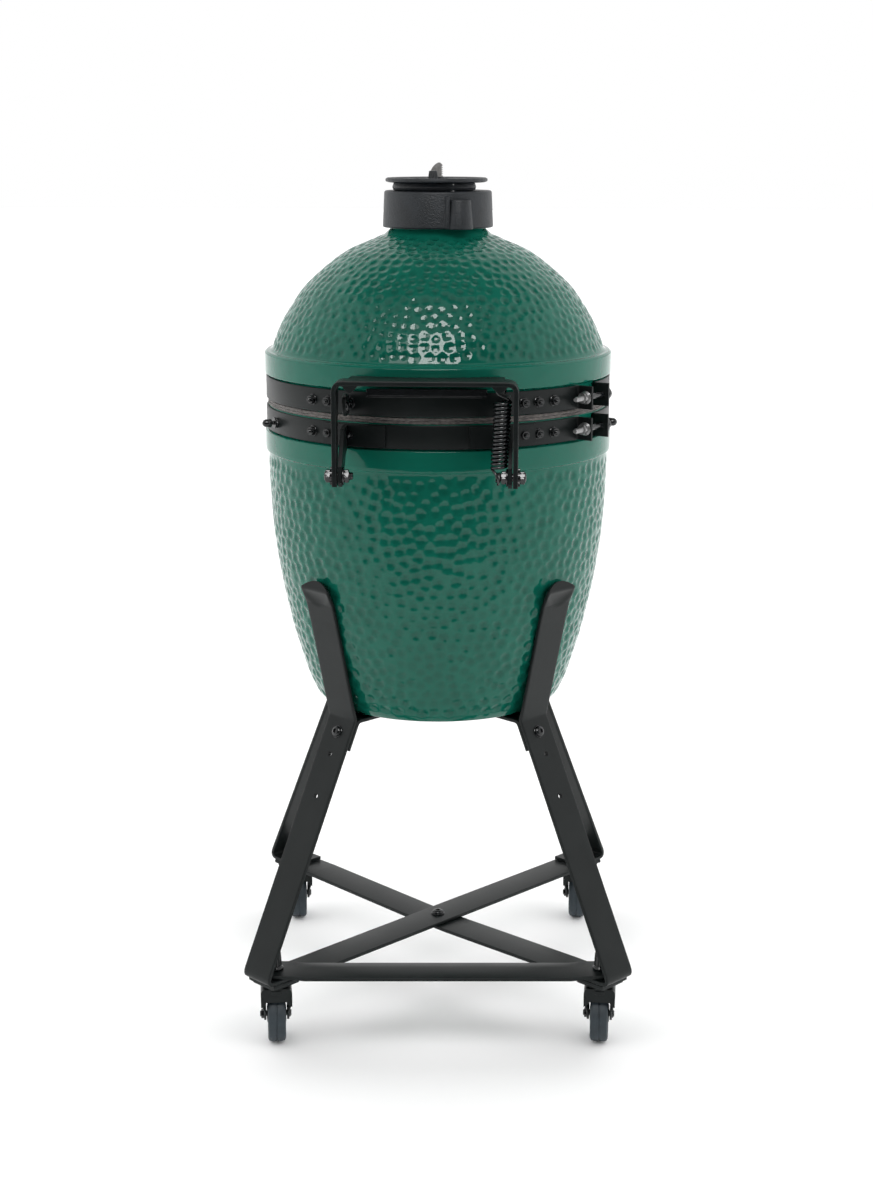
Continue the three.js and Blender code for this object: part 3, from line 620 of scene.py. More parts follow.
# ---- ceramic egg
DENTS = {"base": (17.3, 8.4, 1.95), "dome": (14.8, 7.0, 1.5)}      # pitch, radius and depth
DENT_EDGE = 8.0                   # from the first row of dents to the end of the dimpled zone
DENT_SHAKE = (0.022, 0.28)        # scatter of a dent's angle in radians, and of its place in pitches
DENT_ENDS = (-2.5, 4.5)           # how far the first and last rows wander
DENT_PUSH = 0.22                  # share of an overlap by which two close dents are moved apart
DENT_DEPTHS = (0.6, 1.1)
DENT_REACHES = (0.86, 1.06)
DENT_BOWL = 1.12                  # above 1 it blends a dent's rim into the surface
COLUMNS = 600
COARSE = 5                        # fine columns to one coarse column
DENT_STEP = 2.25


def search_tree(points):
    tree = kdtree.KDTree(len(points))
    for i, p in enumerate(points):
        tree.insert(p, i)
    tree.balance()
    return tree


def scatter_dents(curve, pitch, seed):
    """Middles of the dents on a turned surface: shaken rows, pushed apart until they pack evenly."""
    rng = np.random.default_rng(seed)
    line = evenly(curve, 1.0)
    length = len(line) - 1.0
    rows = round((length - 2 * DENT_EDGE) / (pitch * math.sqrt(0.75)))
    angle, place = [], []
    for k in range(rows + 1):
        s = DENT_EDGE + (length - 2 * DENT_EDGE) * k / rows
        count = round(2 * math.pi * line[int(s), 0] / pitch)
        angle.extend(2 * np.pi * (np.arange(count) + rng.uniform()) / count)
        place.extend([s] * count)
    angle = np.array(angle) + rng.normal(0, DENT_SHAKE[0], len(angle))
    place = np.array(place) + rng.normal(0, DENT_SHAKE[1] * pitch, len(place))
    ends = DENT_EDGE + rng.uniform(*DENT_ENDS, len(place))

    def locate():
        r, z = (np.interp(place, np.arange(len(line)), line[:, k]) for k in (0, 1))
        return np.column_stack([r * np.cos(angle), r * np.sin(angle), z])

    for _ in range(5):
        points = locate()
        tree = search_tree(points)
        moved = points.copy()
        for i, p in enumerate(points):
            for q, _, gap in tree.find_n(p, 7)[1:]:
                push = DENT_PUSH * max(0.0, 1.02 * pitch - gap)
                moved[i] += (p - np.array(q)) / gap * push
        angle = np.arctan2(moved[:, 1], moved[:, 0])
        r = np.hypot(moved[:, 0], moved[:, 1])
        away = (r[:, None] - line[None, :, 0]) ** 2 + (moved[:, 2][:, None] - line[None, :, 1]) ** 2
        place = np.clip(away.argmin(1).astype(float), ends, length - ends)
    return locate(), rng


def dent(obj, curve, size, seed):
    """Presses the dents into the part of a turned mesh that lies on the curve."""
    pitch, dent_radius, deepest = size
    centres, rng = scatter_dents(curve, pitch, seed)
    depth = deepest * rng.uniform(*DENT_DEPTHS, len(centres))
    reach = dent_radius * rng.uniform(*DENT_REACHES, len(centres))
    tree = search_tree(centres)
    line = evenly(curve, 0.5)
    slope = np.gradient(line, axis=0)
    low, high = line[:, 1].min(), line[:, 1].max()
    mesh = obj.data
    points = np.empty(len(mesh.vertices) * 3)
    mesh.vertices.foreach_get("co", points)
    points = points.reshape(-1, 3) / MM
    radius = np.hypot(points[:, 0], points[:, 1])
    on_curve = np.abs(np.interp(points[:, 2], line[:, 1], line[:, 0]) - radius) < 1.0
    pressed = np.zeros(len(points))
    for i in np.flatnonzero(on_curve & (points[:, 2] > low) & (points[:, 2] < high)):
        p = points[i]
        near = [(k, gap / reach[k]) for _, k, gap in tree.find_n(p, 3) if gap < reach[k]]
        if near:
            amount = max(depth[k] * (1 - t ** 2) ** DENT_BOWL for k, t in near)
            t = slope[np.abs(line[:, 1] - p[2]).argmin()]
            outward = np.array([t[1] * p[0] / radius[i], t[1] * p[1] / radius[i], -t[0]])
            points[i] -= outward / np.linalg.norm(outward) * amount
            pressed[i] = min(1.0, amount / deepest)
    mesh.vertices.foreach_set("co", (points * MM).ravel())
    # Each point's share of the deepest dent is kept for the glaze, which darkens the dents with it as
    # painted shade.
    layer = mesh.attributes.new("dent", "FLOAT", "POINT")
    layer.data.foreach_set("value", pressed)


def shell_form(outside, inside):
    """Ceramic wall: the glazed outside in fine columns, the plain inside in coarse ones."""
    fine = [(r, z, COLUMNS) for r, z in outside]
    coarse = [(r, z, COLUMNS // COARSE) for r, z in inside]
    form = lathe(fine + coarse)
    skin = sum(COLUMNS if r else 1 for r, z in outside)
    form.paint = [int(min(face) >= skin) for face in form.faces]
    return form, skin


BASE_POINTS = [(170, 446), (181, 470), (193, 509), (202.3, 541), (217, 610), (226.5, 678),
               (230.6, 745), (231, 779)]
DOME_POINTS = [(224.5, 920), (212, 951), (196, 978), (174, 1007), (129, 1044), (91, 1062), (72, 1070)]
HOUSING = (237.1, 302.9, 449.7, 512.3, 184.6)     # draft door seat: angles, heights and radius
DRAFT_MOUTH = (463, 499)          # heights of the opening behind it


def seat(form, skin_count):
    """Flattens the ceramic's outside to one radius behind the draft door's frame."""
    first, last, low, high, radius = HOUSING
    points = form.points
    step = 360 / COLUMNS
    slip = 0.02                   # turns the ends of the flat part into steep steps
    angle = np.degrees(np.arctan2(points[:, 1], points[:, 0])) % 360
    outer = np.hypot(points[:, 0], points[:, 1])
    skin = (points[:, 2] > low - 0.1) & (points[:, 2] < high + 0.1)
    skin[skin_count:] = False
    for limit, sign in ((first, 1), (last, -1)):
        inner = sign * (angle - limit)
        for side in (-1, 1):
            near = skin & (side * inner >= 0) & (side * inner < step)
            angle[near] = limit + sign * side * slip
    flat = skin & (angle > first) & (angle < last)
    outer[flat] = radius
    points[skin, 0] = outer[skin] * np.cos(np.radians(angle[skin]))
    points[skin, 1] = outer[skin] * np.sin(np.radians(angle[skin]))
    return form


def base_shell():
    curve = evenly(smooth_curve(BASE_POINTS, 80), DENT_STEP)
    for level in HOUSING[2:4]:
        nearest = np.abs(curve[:, 1] - level).argmin()
        curve[nearest] = np.interp(level, curve[:, 1], curve[:, 0]), level
    under = soften([(140, 434), (152, 434), (162, 437.5), BASE_POINTS[0]], 6)
    rim = soften([BASE_POINTS[-1], (231.6, 783), (234.6, 785), (LEDGE_R, 789), (LEDGE_R, 812),
                  (RIM_R, 813.5), (RIM_R, BASE_RIM), (RIM_IN, BASE_RIM)], 1.1)
    thin = [(r - 22, z) for r, z in reversed(smooth_curve(BASE_POINTS, 14)) if z > 480]
    inside = [(RIM_IN, BASE_RIM), (RIM_IN, 782), *thin, (146, 462), (140, 460), (0, 460)]
    form, skin = shell_form([(0, 434), *under[:-1], *curve, *rim[1:-1]], inside)
    return seat(form, skin), curve


def dome_shell():
    curve = evenly(smooth_curve(DOME_POINTS, 80), DENT_STEP)
    flange = soften([(RIM_IN, DOME_RIM), (RIM_R, DOME_RIM), (RIM_R, 886), (FLANGE_R, 888),
                     (FLANGE_R, 915), (231.5, 917.6), (227.5, 918), DOME_POINTS[0]], 2.0)
    neck = soften([DOME_POINTS[-1], (NECK_R, 1077), (NECK_R, NECK_TOP), (NECK_BORE, NECK_TOP)], 3)
    vault = [(r - 12, z - 16) for r, z in reversed(smooth_curve(DOME_POINTS, 14)) if r > NECK_BORE + 16]
    inside = [(NECK_BORE, NECK_TOP), (NECK_BORE, 1052), *vault, (RIM_IN, 902), (RIM_IN, DOME_RIM)]
    return shell_form([*flange[1:-1], *curve, *neck[1:-1]], inside)[0], curve


def shell_piece(name, form, curve, size, seed, cut):
    """Ceramic shell: pressed with dents and cut through where something passes."""
    obj = mesh_object(name, form, [GLAZE, BISQUE])
    dent(obj, curve, size, seed)
    combine(obj, [cut], "DIFFERENCE", "FAST")
    shade(obj, 42)
    return obj


def egg():
    form, curve = base_shell()
    mouth = prism(sector(130, 225, 260.4, 279.6, 1.5, 1.5), *DRAFT_MOUTH)
    base = shell_piece("ceramic_base", form, curve, DENTS["base"], 11, mouth)
    settle(base, "nest", "base_shell")
    form, curve = dome_shell()
    stem_hole = rod(6, -60, 30).moved(AT_GAUGE)
    dome = shell_piece("ceramic_dome", form, curve, DENTS["dome"], 23, stem_hole)
    settle(dome, "dome", "dome_shell")


def gaskets():
    """Two felt rings between the rims, a little uneven at their edges, and one under the cap."""
    def uneven(a, z):
        return 1 + 0.0012 * np.sin(7 * a + z) + 0.0007 * np.sin(23 * a)

    for name, low, high, body in (("base_gasket", 846.2, 849.9, "nest"),
                                  ("dome_gasket", 850.2, 853.8, "dome")):
        ring = turned([(208, low), (230.6, low), (230.6, high), (208, high)], 1.2, 180, uneven)
        add(f"felt_{name}", ring, FELT, body, name)
    ring = turned([(64.3, 1086), (66.3, 1086), (66.3, 1112), (64.3, 1112)], 0.4)
    add("felt_cap_gasket", ring, FELT, "dome", "cap_gasket")


# ---- bands
HINGE_BOLTS = (50.0, 56.7, 65.1, 114.9, 121.2, 126.4, 132.6)
EAR_OUT = 254.6
CLAMP_R = 244.2                   # from the egg's axis to the clamp bolts


def band_path():
    """One strap round the rim, its two ends bent out square for the clamp bolt."""
    middle = (BAND_IN + BAND_OUT) / 2
    start, end = CLAMP_ANGLE + CLAMP_HALF, CLAMP_ANGLE + 360 - CLAMP_HALF
    ring = arc(middle, start, end, 2)
    first = soften([polar(EAR_OUT, start).to_2d(), ring[0], ring[2]], 5)
    last = soften([ring[-3], ring[-1], polar(EAR_OUT, end).to_2d()], 5)
    return [*first[:-1], *ring[2:-2], *last[1:]]


def clamp_bolt(z):
    """Long bolt through both ears; the nut and the thread's end are on the hinge side."""
    bright = thread(3.6, 20, 49, 1.4) + nut(6.3, 6).lifted(26.4)
    bright += washer(8.6, 1.8).lifted(22.6) + washer(7.6, 1.6).lifted(24.6)
    # The shank between the ears takes the black oxide as painted shade; the nut and washer at the bolt's
    # head are black as well.
    dark = rod(4, -30, 20, 20) + nut(7.2, 6.5).lifted(-33.5) + washer(9.6, 1.8).lifted(-25.2)
    place = facing(polar(CLAMP_R, CLAMP_ANGLE, z), polar(1, CLAMP_ANGLE - 90))
    return (bright + dark.painted(1)).moved(place)


def bands():
    for level, body in (("lower", "nest"), ("upper", "dome")):
        z = BAND_MID[level]
        strap = bar(band_path(), BAND_H, BAND_OUT - BAND_IN, 0.9).lifted(z)
        add(f"{level}_band_strap", strap, POWDER, body, f"{level}_band")
        add(f"{level}_clamp_bolt", clamp_bolt(z), [ZINC, OXIDE], body, f"{level}_band_bolt")
        for k, angle in enumerate(HINGE_BOLTS):
            place = facing(polar(BAND_OUT, angle, z), polar(1, angle))
            add(f"{level}_band_nut_{k + 1}", nut_on_stud(5.2, 4.6, 3, 9.6).moved(place), OXIDE, body)


def side_studs():
    """Studs on the lower band for a side shelf, each with a nut and a cap nut."""
    crown = lathe([(0, 14), (5.4, 14), (5.2, 16.4), (4, 18.8), (1.8, 20.3), (0, 20.6)], 24)
    form = (nut(6.5, 3) + washer(7.4, 1.6).lifted(3.2) + thread(3, 2, 18) + nut(5.2, 5).lifted(9)
            + crown)
    for side, angle in (("left", 28), ("right", 162)):
        place = facing(polar(BAND_OUT + GAP, angle, BAND_MID["lower"]), polar(1, angle))
        add(f"shelf_stud_{side}", form.moved(place), OXIDE, "nest", f"side_stud_{side}")


# ---- hinge
SPRING_LOW = Vector((-91.5, 270.5, 799.0))
SPRING_HIGH = Vector((-95.5, 269.0, 880.0))
SPRING_TURNS = 16.5


def bail():
    """Flat bar bent twice; its arms are slimmer below the bends."""
    top, end, back = BAIL_TOP - 3, PIVOT_Z - 12, 284

    def depth(p):
        return 24 + 10 * min(1.0, max(0.0, (p.y - 862) / 14))

    path = soften([(-BAIL_HALF, end), (-BAIL_HALF, top), (BAIL_HALF, top), (BAIL_HALF, end)], 12, 8)
    form = bar(finer(path, 9), depth, 6, 1.0, middle=lambda p: back - depth(p) / 2)
    add("hinge_bail_bar", form.moved(BACK_VIEW), POWDER, "dome", "hinge_bail")
    rim = [(p.x, max(p.y, 222)) for p in arc(BAND_OUT + 2.4, 66, 114) if abs(p.x) < 95]
    plate = prism([(97, 252), (97, 222), *rim, (-97, 222), (-97, 252)], 899.6, 905.4)
    add("hinge_bail_plate", plate, POWDER, "dome", edge=0.9)
    web = prism([(-75, 239.5), (75, 239.5), (75, 242.5), (-75, 242.5)], 883, 892)
    shelf = prism([(-75, 241), (75, 241), *arc(BAND_OUT + 0.6, 71.5, 108.5)], 881, 883.4)
    add("hinge_bail_bracket", web + shelf, OXIDE, "dome", edge=0.5)
    for side, sign in SIDES:
        outline = [(sign * x, z) for x, z in ((103, 901), (81, 901), (90.5, 891), (93.5, 891))]
        rib = prism(outline, 257, back - 0.6)
        add(f"hinge_gusset_{side}", rib.moved(BACK_VIEW), POWDER, "dome", edge=0.8)


def hinge_lugs():
    """Ears: one on the lower band for each pivot bolt, and a shorter one above it on the dome."""
    outline = [(208, 858), (246, 858), (256, 864), (258, 882), (246, 886), (208, 880)]
    ear = prism([p for p in soften(outline, 7, closed=True) if p.x > 212], -2.5, 2.5)
    for side, sign in SIDES:
        refined(f"hinge_lug_{side}", f"hinge_bracket_{side}", POWDER, "nest", 0.8)
        x = sign * 101.5
        add(f"dome_lug_{side}", ear.moved(SIDE_VIEW, shift(x)), POWDER, "dome", edge=0.9)
        button = button_head(7.2, 4).moved(facing((x - sign * 2.4, 249, 871), (-sign, 0, 0)))
        add(f"dome_lug_rivet_{side}", button, OXIDE, "dome")


def toothed(radius, height, teeth=16):
    """Serrated flange."""
    return lathe([(0, 0), (radius, 0), (radius, height), (0, height)], teeth * 6,
                 lambda a, z: 1 + 0.035 * np.sign(np.sin(teeth * a)))


def pivot_bolts():
    head = toothed(11, 2.2).lifted(0.2) + nut(7.6, 6).lifted(2.4) + button_head(6.2, 2).lifted(8.4)
    head += rod(5, -12, 1)
    inner = washer(11.3, 2).lifted(0.3) + nut(7.6, 6).lifted(2.3) + thread(5, 8, 13, 1.4)
    for side, sign in SIDES:
        outside, inside = ((sign * (BAIL_HALF + away), PIVOT_Y, PIVOT_Z) for away in (3, -9.3))
        whole = head.moved(facing(outside, (sign, 0, 0))) + inner.moved(facing(inside, (-sign, 0, 0)))
        add(f"pivot_bolt_{side}", whole, OXIDE, "nest", f"hinge_pivot_bolt_{side}")
    spacer = lathe([(5.2, 0), (7, 0.5), (5.6, 3.2), (7, 5.8), (5.2, 6.3)], 40)
    add("spring_spacer", spacer.moved(facing((-87, PIVOT_Y, PIVOT_Z), (-1, 0, 0))), ZINC, "nest")


def lift_spring():
    """Closed coil with a hook up to the bail and an eye down to the pivot bolt."""
    coil = []
    steps = int(SPRING_TURNS * 22)
    for k in range(steps + 1):
        a = 2 * math.pi * SPRING_TURNS * k / steps
        r = 9.0 + 0.5 * k / steps
        middle = SPRING_LOW.lerp(SPRING_HIGH, k / steps)
        coil.append(middle + Vector((r * math.cos(a), r * math.sin(a), 0)))
    over = smooth_curve([coil[-1], coil[-1] + Vector((3, 5, 4)), (-90, 277, 891), (-89, 276, 897),
                         (-93, 270, 899.5), (-98, 264, 896), (-97, 262, 890)], 40)
    under = smooth_curve([coil[0], (-83.5, 276, 797), (-87.5, 281, 793), (-90.5, 281.5, 786),
                          (-90.5, 274, 778.5), (-90.5, 264, 782), (-90.5, 262.5, 791)], 40)
    add("lift_spring_coil", wire(coil, 2.05), OXIDE, "dome", "hinge_spring")
    add("lift_spring_hook", wire(over, 1.75), OXIDE, "dome")
    add("lift_spring_eye", wire(under, 1.75), OXIDE, "dome")


# ---- vent cap
DAISY_R = 68.0
FIN_TEETH = 5


def vents(inner, outer, turned_by, low, high):
    """Five openings round the cap's middle, with round corners."""
    outlines = [sector(inner, outer, a - 15, a + 15) for a in range(turned_by, turned_by + 360, 72)]
    return [prism(soften(line, 2.5, 2, closed=True), low, high).moved(shift(DAISY_X))
            for line in outlines]


def collar():
    """Cast ring on the chimney, with the boss that its top swings on and a rib beside it."""
    wall = [(66.6, 1079), (73, 1079), (73.8, 1081), (71.7, CAP_TOP - 2), (70, CAP_TOP),
            (66, CAP_TOP - 0.4), (45, CAP_TOP - 0.4), (45, 1119), (66.6, 1119)]
    boss = turned([(0, 1078.4), (18.4, 1078.4), (15, 1116.6), (0, 1116.6)], 1.6, 64)
    rib = turned([(0, 1079), (4.2, 1079), (3.2, 1120.5), (0, 1120.5)], 2.4, 32)
    joins = [form.moved(Matrix.Translation(place))
             for form, place in ((boss, polar(67, 118)), (rib, polar(72, 103.5)))]
    add("vent_collar", turned(wall, 2.0, 160), CAST, "dome", "cap_collar", joins=joins,
        cuts=[rod(66.6, 1070, 1118.9, 160)], sharp=40)


def cap_top():
    """Swinging disc, the daisy wheel on it, and the pin that it swings on."""
    low, high = CAP_TOP + GAP, DAISY_Z - GAP
    disc = turned([(0, low), (54.5, low), (56, low + 4), (54, high), (0, high)], 1.6, 120)
    add("swing_disc", disc.moved(shift(5)), CAST, "cap_top", "cap_swing_disc",
        cuts=vents(17, 38, 0, low - 2, high + 2), sharp=36)
    z = DAISY_Z
    wheel = turned([(0, z), (64, z), (DAISY_R, z + 1.2), (DAISY_R, z + 4.6), (65.6, z + 6.1),
                    (61.5, z + 5.7), (59, z + 4.4), (0, z + 4.4)], 1.6, 144)
    add("daisy_plate", wheel.moved(shift(DAISY_X)), CAST, "daisy_wheel", "daisy_wheel",
        cuts=vents(16, 42, 36, z - 2, z + 12), sharp=36)
    knob = turned([(0, z + 4), (6.4, z + 4), (6, z + 7), (5.4, z + 15.2), (0, z + 15.6)], 1.2, 96,
                  lambda a, h: 1 + 0.06 * np.cos(12 * a) * (z + 6 < h < z + 14))
    add("daisy_knob", knob.moved(shift(DAISY_X + 3, 26)), CAST, "daisy_wheel")
    add("swing_pin", rod(2.6, 1120, 1136.2, 24).moved(shift(-21.5, 45)), ZINC, "dome", "cap_pivot_pin")


def lifting_fin():
    """Upright fin with a rounded back and a toothed edge, on the daisy wheel's post."""
    base = DAISY_Z + 4.9
    back = smooth_curve([(9.6, base), (8.4, base + 8), (4.6, base + 15.4), (-1, base + 20),
                         (-4.6, base + 20.6), (-7.6, base + 18)], 24)
    teeth = []
    for k in range(FIN_TEETH):
        top = base + 16.4 - 2.7 * k
        teeth += [(-8.2, top), (-6.5, top - 0.7), (-6.7, top - 1.6), (-8.6, top - 2.0)]
    outline = [*back, *teeth, (-8.8, base)]
    fin = prism(outline, -2.4, 2.4).moved(BACK_VIEW, shift(DAISY_X))
    post = lathe([(0, 1129), (4.9, 1129), (4.9, base), (9.4, base), (9.4, base + 1.4),
                  (8.6, base + 2.0), (0, base + 2.0)], 48)
    add("lifting_fin", fin, FIN, "cap_top", "cap_tab", edge=0.5)
    add("lifting_fin_post", post.moved(shift(DAISY_X)), CAST, "cap_top")


# ---- handle and thermometer
AT_GAUGE = shift(*GAUGE) @ turn(GAUGE_TILT, "X")
GRIP = (0.0, -280.0, 872.0)


def handle():
    for side, sign in SIDES:
        refined(f"handle_arm_{side}", f"handle_bracket_{side}", POWDER, "dome", 0.9)
        for k, angle in enumerate((270 + sign * 15.5, 270 + sign * 25.5)):
            place = facing(polar(BAND_OUT + 3.4, angle, BAND_MID["upper"]), polar(1, angle))
            add(f"handle_bolt_{side}_{k + 1}", button_head(6, 3.6).moved(place), OXIDE, "dome")
    half = [(14.0, 30), (13.2, 66), (11.6, 75.5), (5, 78), (5, 87.5), (11.6, 90), (13.4, 96),
            (12.6, 102.6), (9, 105), (0, 105)]
    bead = [*[(r, -z) for r, z in reversed(half)], *half]
    grip = turned(bead, 2.2, 64, steps=5).moved(turn(90, "Y"), shift(*GRIP))
    add("handle_timber", grip, TIMBER, "dome", "handle_grip")


def thermometer():
    """Dial in a rolled steel case, square to the front of the dome, with a generic scale."""
    def on_gauge(name, form, material, node_name=(), body="dome"):
        add(f"gauge_{name}", form.moved(AT_GAUGE), material, body, node_name)

    case = turned([(0, 3), (24, 3), (26, 5), (26, 13.5), (24.6, 15.5), (22.9, 15), (22.9, 8), (0, 8)],
                  1.2, 128)
    stem = turned([(0, -55), (2.4, -53), (3.2, -48), (3.2, 0), (6, 0), (6, 4), (0, 4)], 0.8, 40)
    on_gauge("case", case + stem, STAINLESS, "thermometer_case")
    on_gauge("dial", rod(22.4, 8.3, 9.2, 96), DIAL, "thermometer_dial")
    marks = Form([], [])
    for k in range(31):
        start = 17.6 if k % 5 == 0 else 19.2
        tick = prism([(start, -0.25), (21, -0.25), (21, 0.25), (start, 0.25)], 9.1, 9.35)
        marks = marks + tick.moved(turn(225 - 9 * k))
    on_gauge("marks", marks, INK)
    hand = prism([(-1.6, -5), (1.6, -5), (0.9, 12), (0, 18), (-0.9, 12)], 9.9, 10.7)
    hub = lathe([(0, 9.8), (2.6, 9.8), (2.2, 11.3), (0, 11.4)], 32)
    on_gauge("hand", hand + hub, RED, "thermometer_needle", "thermometer_needle")
    glass = turned([(0, 13), (22.5, 13), (22.5, 14.4), (0, 14.7)], 0.5)
    on_gauge("lens", glass, LENS, "thermometer_glass")


def draft_door():
    refined("draft_track", "draft_frame", STAINLESS, "nest", 0.5)
    refined("draft_slide", "draft_door", STAINLESS, "draft_door", 0.4)
    refined("spark_screen", "draft_screen", STAINLESS, "draft_screen", 0.3)


# ---- inside the egg
def firebox():
    bowl = turned([(104, 460.4), (124, 460.4), (134, 476), (156, 540), (172, 600), (178, 640),
                   (154, 640), (148, 590), (118, 524), (100, 524)], 4)
    mouth = prism(sector(90, 220, 257, 283), *DRAFT_MOUTH)
    add("fire_bowl", bowl, CLAY, "nest", "fire_box", cuts=[mouth], sharp=36)
    ring = turned([(166, 640.4), (182, 640.4), (196, 730), (202, 800), (202, 816), (182, 816),
                   (178, 730)], 4, 120)
    add("fire_collar", ring, CLAY, "nest", "fire_ring")
    refined("charcoal_plate", "charcoal_grate", CAST, "nest", 1.2)


def cooking_grid():
    """Round grid of steel rods on two cross rods inside a rim."""
    radius, z = 198.5, 819.4

    def across(start, heading, thickness):
        """Rod from rim to rim through a point."""
        reach = heading * math.sqrt(radius ** 2 - start.to_2d().length_squared)
        return wire([start - reach, start, start + reach], thickness)

    rods = wire([polar(radius, 3 * k, z) for k in range(121)], 2.9)
    for k in range(-13, 14):
        rods = rods + across(Vector((k * 14.2, 0, z)), Vector((0, 1, 0)), 1.9 if k % 4 else 2.6)
    for y in (-95, 95):
        rods = rods + across(Vector((0, y, z - 0.8)), Vector((1, 0, 0)), 2.2)
    add("cooking_rods", rods, STAINLESS, "nest", "cooking_grid")


# ---- nest
LEG_OUT = Vector((-LEAN.y, LEAN.x))     # square to a leg's lower part, outward
LEG_SCREW_Z = 414.7
LEG_HOLES = (386.7, 333)
RIDGE_Z = 618.0
TIP_Z = 628.0


def on_leg(z, depth, angle):
    """Point and outward direction on a leg's sloping part, depth out from its middle line."""
    p = Vector((BEND_R + SLOPE * (BEND_Z - z), z)) + LEG_OUT * depth
    out = polar(1, angle)
    return out * p.x + Vector((0, 0, p.y)), out * LEG_OUT.x + Vector((0, 0, LEG_OUT.y))


def leg(angle):
    """Flat bar: a spooned tip, a crease below it, a bend under the egg and a flat foot."""
    upper = soften([(223.6, TIP_Z), (228.6, RIDGE_Z), (219.4, 598), (213.2, 574), (BEND_R, BEND_Z)], 4)
    lower = soften([(213.2, 574), (BEND_R, BEND_Z), (FOOT_R, FOOT_MID), (284, FOOT_MID)], 9, 6)
    line = [*upper[:-1], *lower[1:]]
    path = [*finer(line[:25], 1.6), *line[25:]]

    def width(p):
        over = max(0.0, (p.y - RIDGE_Z - 1) / (TIP_Z - RIDGE_Z - 0.9)) if p.x > 200 else 0.0
        return STRAP_W * math.sqrt(max(0.04, 1 - over))

    def spoon(p, side):
        """Leaf-shaped swelling under the ridge, lower in its middle."""
        foot = RIDGE_Z - 7 - 17 * (1 - side * side)
        if p.y < foot or p.y > RIDGE_Z or p.x < 200:
            return 0.0
        t = (p.y - foot) / (RIDGE_Z - foot)
        return -2.4 * (1 - side * side) * math.sin(math.pi * t) ** 0.8

    return bar(path, width, STRAP_T, 0.9, spoon, 14).moved(upright(angle))


def crossed(name, node_name, half, soft):
    """Two bars across the nest on its diagonals, the second one lower where they cross."""
    for letter, angle, drop in (("a", 45 + NEST_TURN, 0), ("b", 135 + NEST_TURN, STRAP_T + GAP)):
        low = [*half[:-1], (half[-1][0], half[-1][1] - drop)]
        line = soften([*low, *[(-r, z) for r, z in reversed(low)]], soft, 6)
        form = bar(line, STRAP_W, STRAP_T, 0.9).moved(upright(angle))
        add(f"{name}_{letter}", form, POWDER, "nest", f"{node_name}_{letter}")


def cross_straps():
    """Straps under the egg whose ends turn down inside the legs, and the crossed bars below."""
    z = 434 - GAP - STRAP_T / 2
    corner = BEND_R - (STRAP_T + GAP) * (-LEAN.y + LEAN.x * SLOPE) + (BEND_Z - z) * SLOPE
    crossed("under_strap", "upper_cross_strap",
            [(corner + (z - 394) * SLOPE, 394), (corner, z), (120, z), (40, z)], 9)
    z = FOOT_LOW - GAP - STRAP_T / 2
    crossed("floor_bar", "lower_cross_bar", [(334, z), (250, z), (40, z)], 60)
    head = washer(9.5, 1.6).lifted(98) + button_head(8, 4.6).lifted(99.6)
    below = nut(6.6, 6).lifted(80) + washer(9, 1.4).lifted(86)
    add("centre_bolt", head + below + thread(4, 78, 99), OXIDE, "nest", "nest_centre_bolt")


def rear_bar():
    """Bar between the rear feet, creased along its middle except at its flat ends."""
    z = FOOT_MID + STRAP_T + GAP

    def crease(p, side):
        flat = min(1.0, max(0.0, (196 - abs(p.x)) / 16))
        return flat * (2.4 - 4.8 * abs(side))

    path = evenly([(-233, z), (233, z)], 8)
    form = bar(path, STRAP_W, STRAP_T, 0.9, crease, 2)
    place = shift(y=CASTER_R * math.sqrt(0.5))
    add("rear_foot_bar", form.moved(BACK_VIEW, place, turn(NEST_TURN)), POWDER, "nest", "rear_side_bar")


def nest():
    screw = washer(8.6, 1.2) + button_head(7.4, 4.4).lifted(1.2)
    for name, angle in CORNERS.items():
        holes = [rod(3.4, -20, 20).moved(facing(*on_leg(z, 0, angle))) for z in LEG_HOLES]
        add(f"nest_leg_{name}", leg(angle), POWDER, "nest", f"leg_{name}", cuts=holes, sharp=30)
        outer, out = on_leg(LEG_SCREW_Z, STRAP_T / 2, angle)
        inner, _ = on_leg(LEG_SCREW_Z, -STRAP_T * 1.5 - 0.4, angle)
        pair = screw.moved(facing(outer, out)) + nut_on_stud(6, 5, 4, 10).moved(facing(inner, -out))
        add(f"leg_screw_{name}", pair, OXIDE, "nest")
    cross_straps()
    rear_bar()


# ---- casters
PLATE_TOP = 92.4
PLATE_LOW = 89.4


def caster_plate(angle, seat_z):
    """Plate under the foot, the race it carries, and the tall ribbed cap nut above."""
    outline = soften([(-23, -23), (23, -23), (23, 23), (-23, 23)], 4, closed=True)
    plate = prism(outline, PLATE_LOW, PLATE_TOP)
    race = turned([(0, 86.4), (15, 86.4), (18, 88), (18, 90.4), (0, 90.4)], 1, 64)
    shape = [(0, 0), (10.5, 0), (10.3, 2.6), (8, 5), (7, 23), (4.4, 28), (0, 28.4)]
    cap = turned([(r, seat_z + z) for r, z in shape], 1.4, 108,
                 lambda a, z: 1 + 0.05 * np.cos(9 * a) * (seat_z + 5 < z < seat_z + 25))
    return plate.moved(turn(angle)) + race, cap


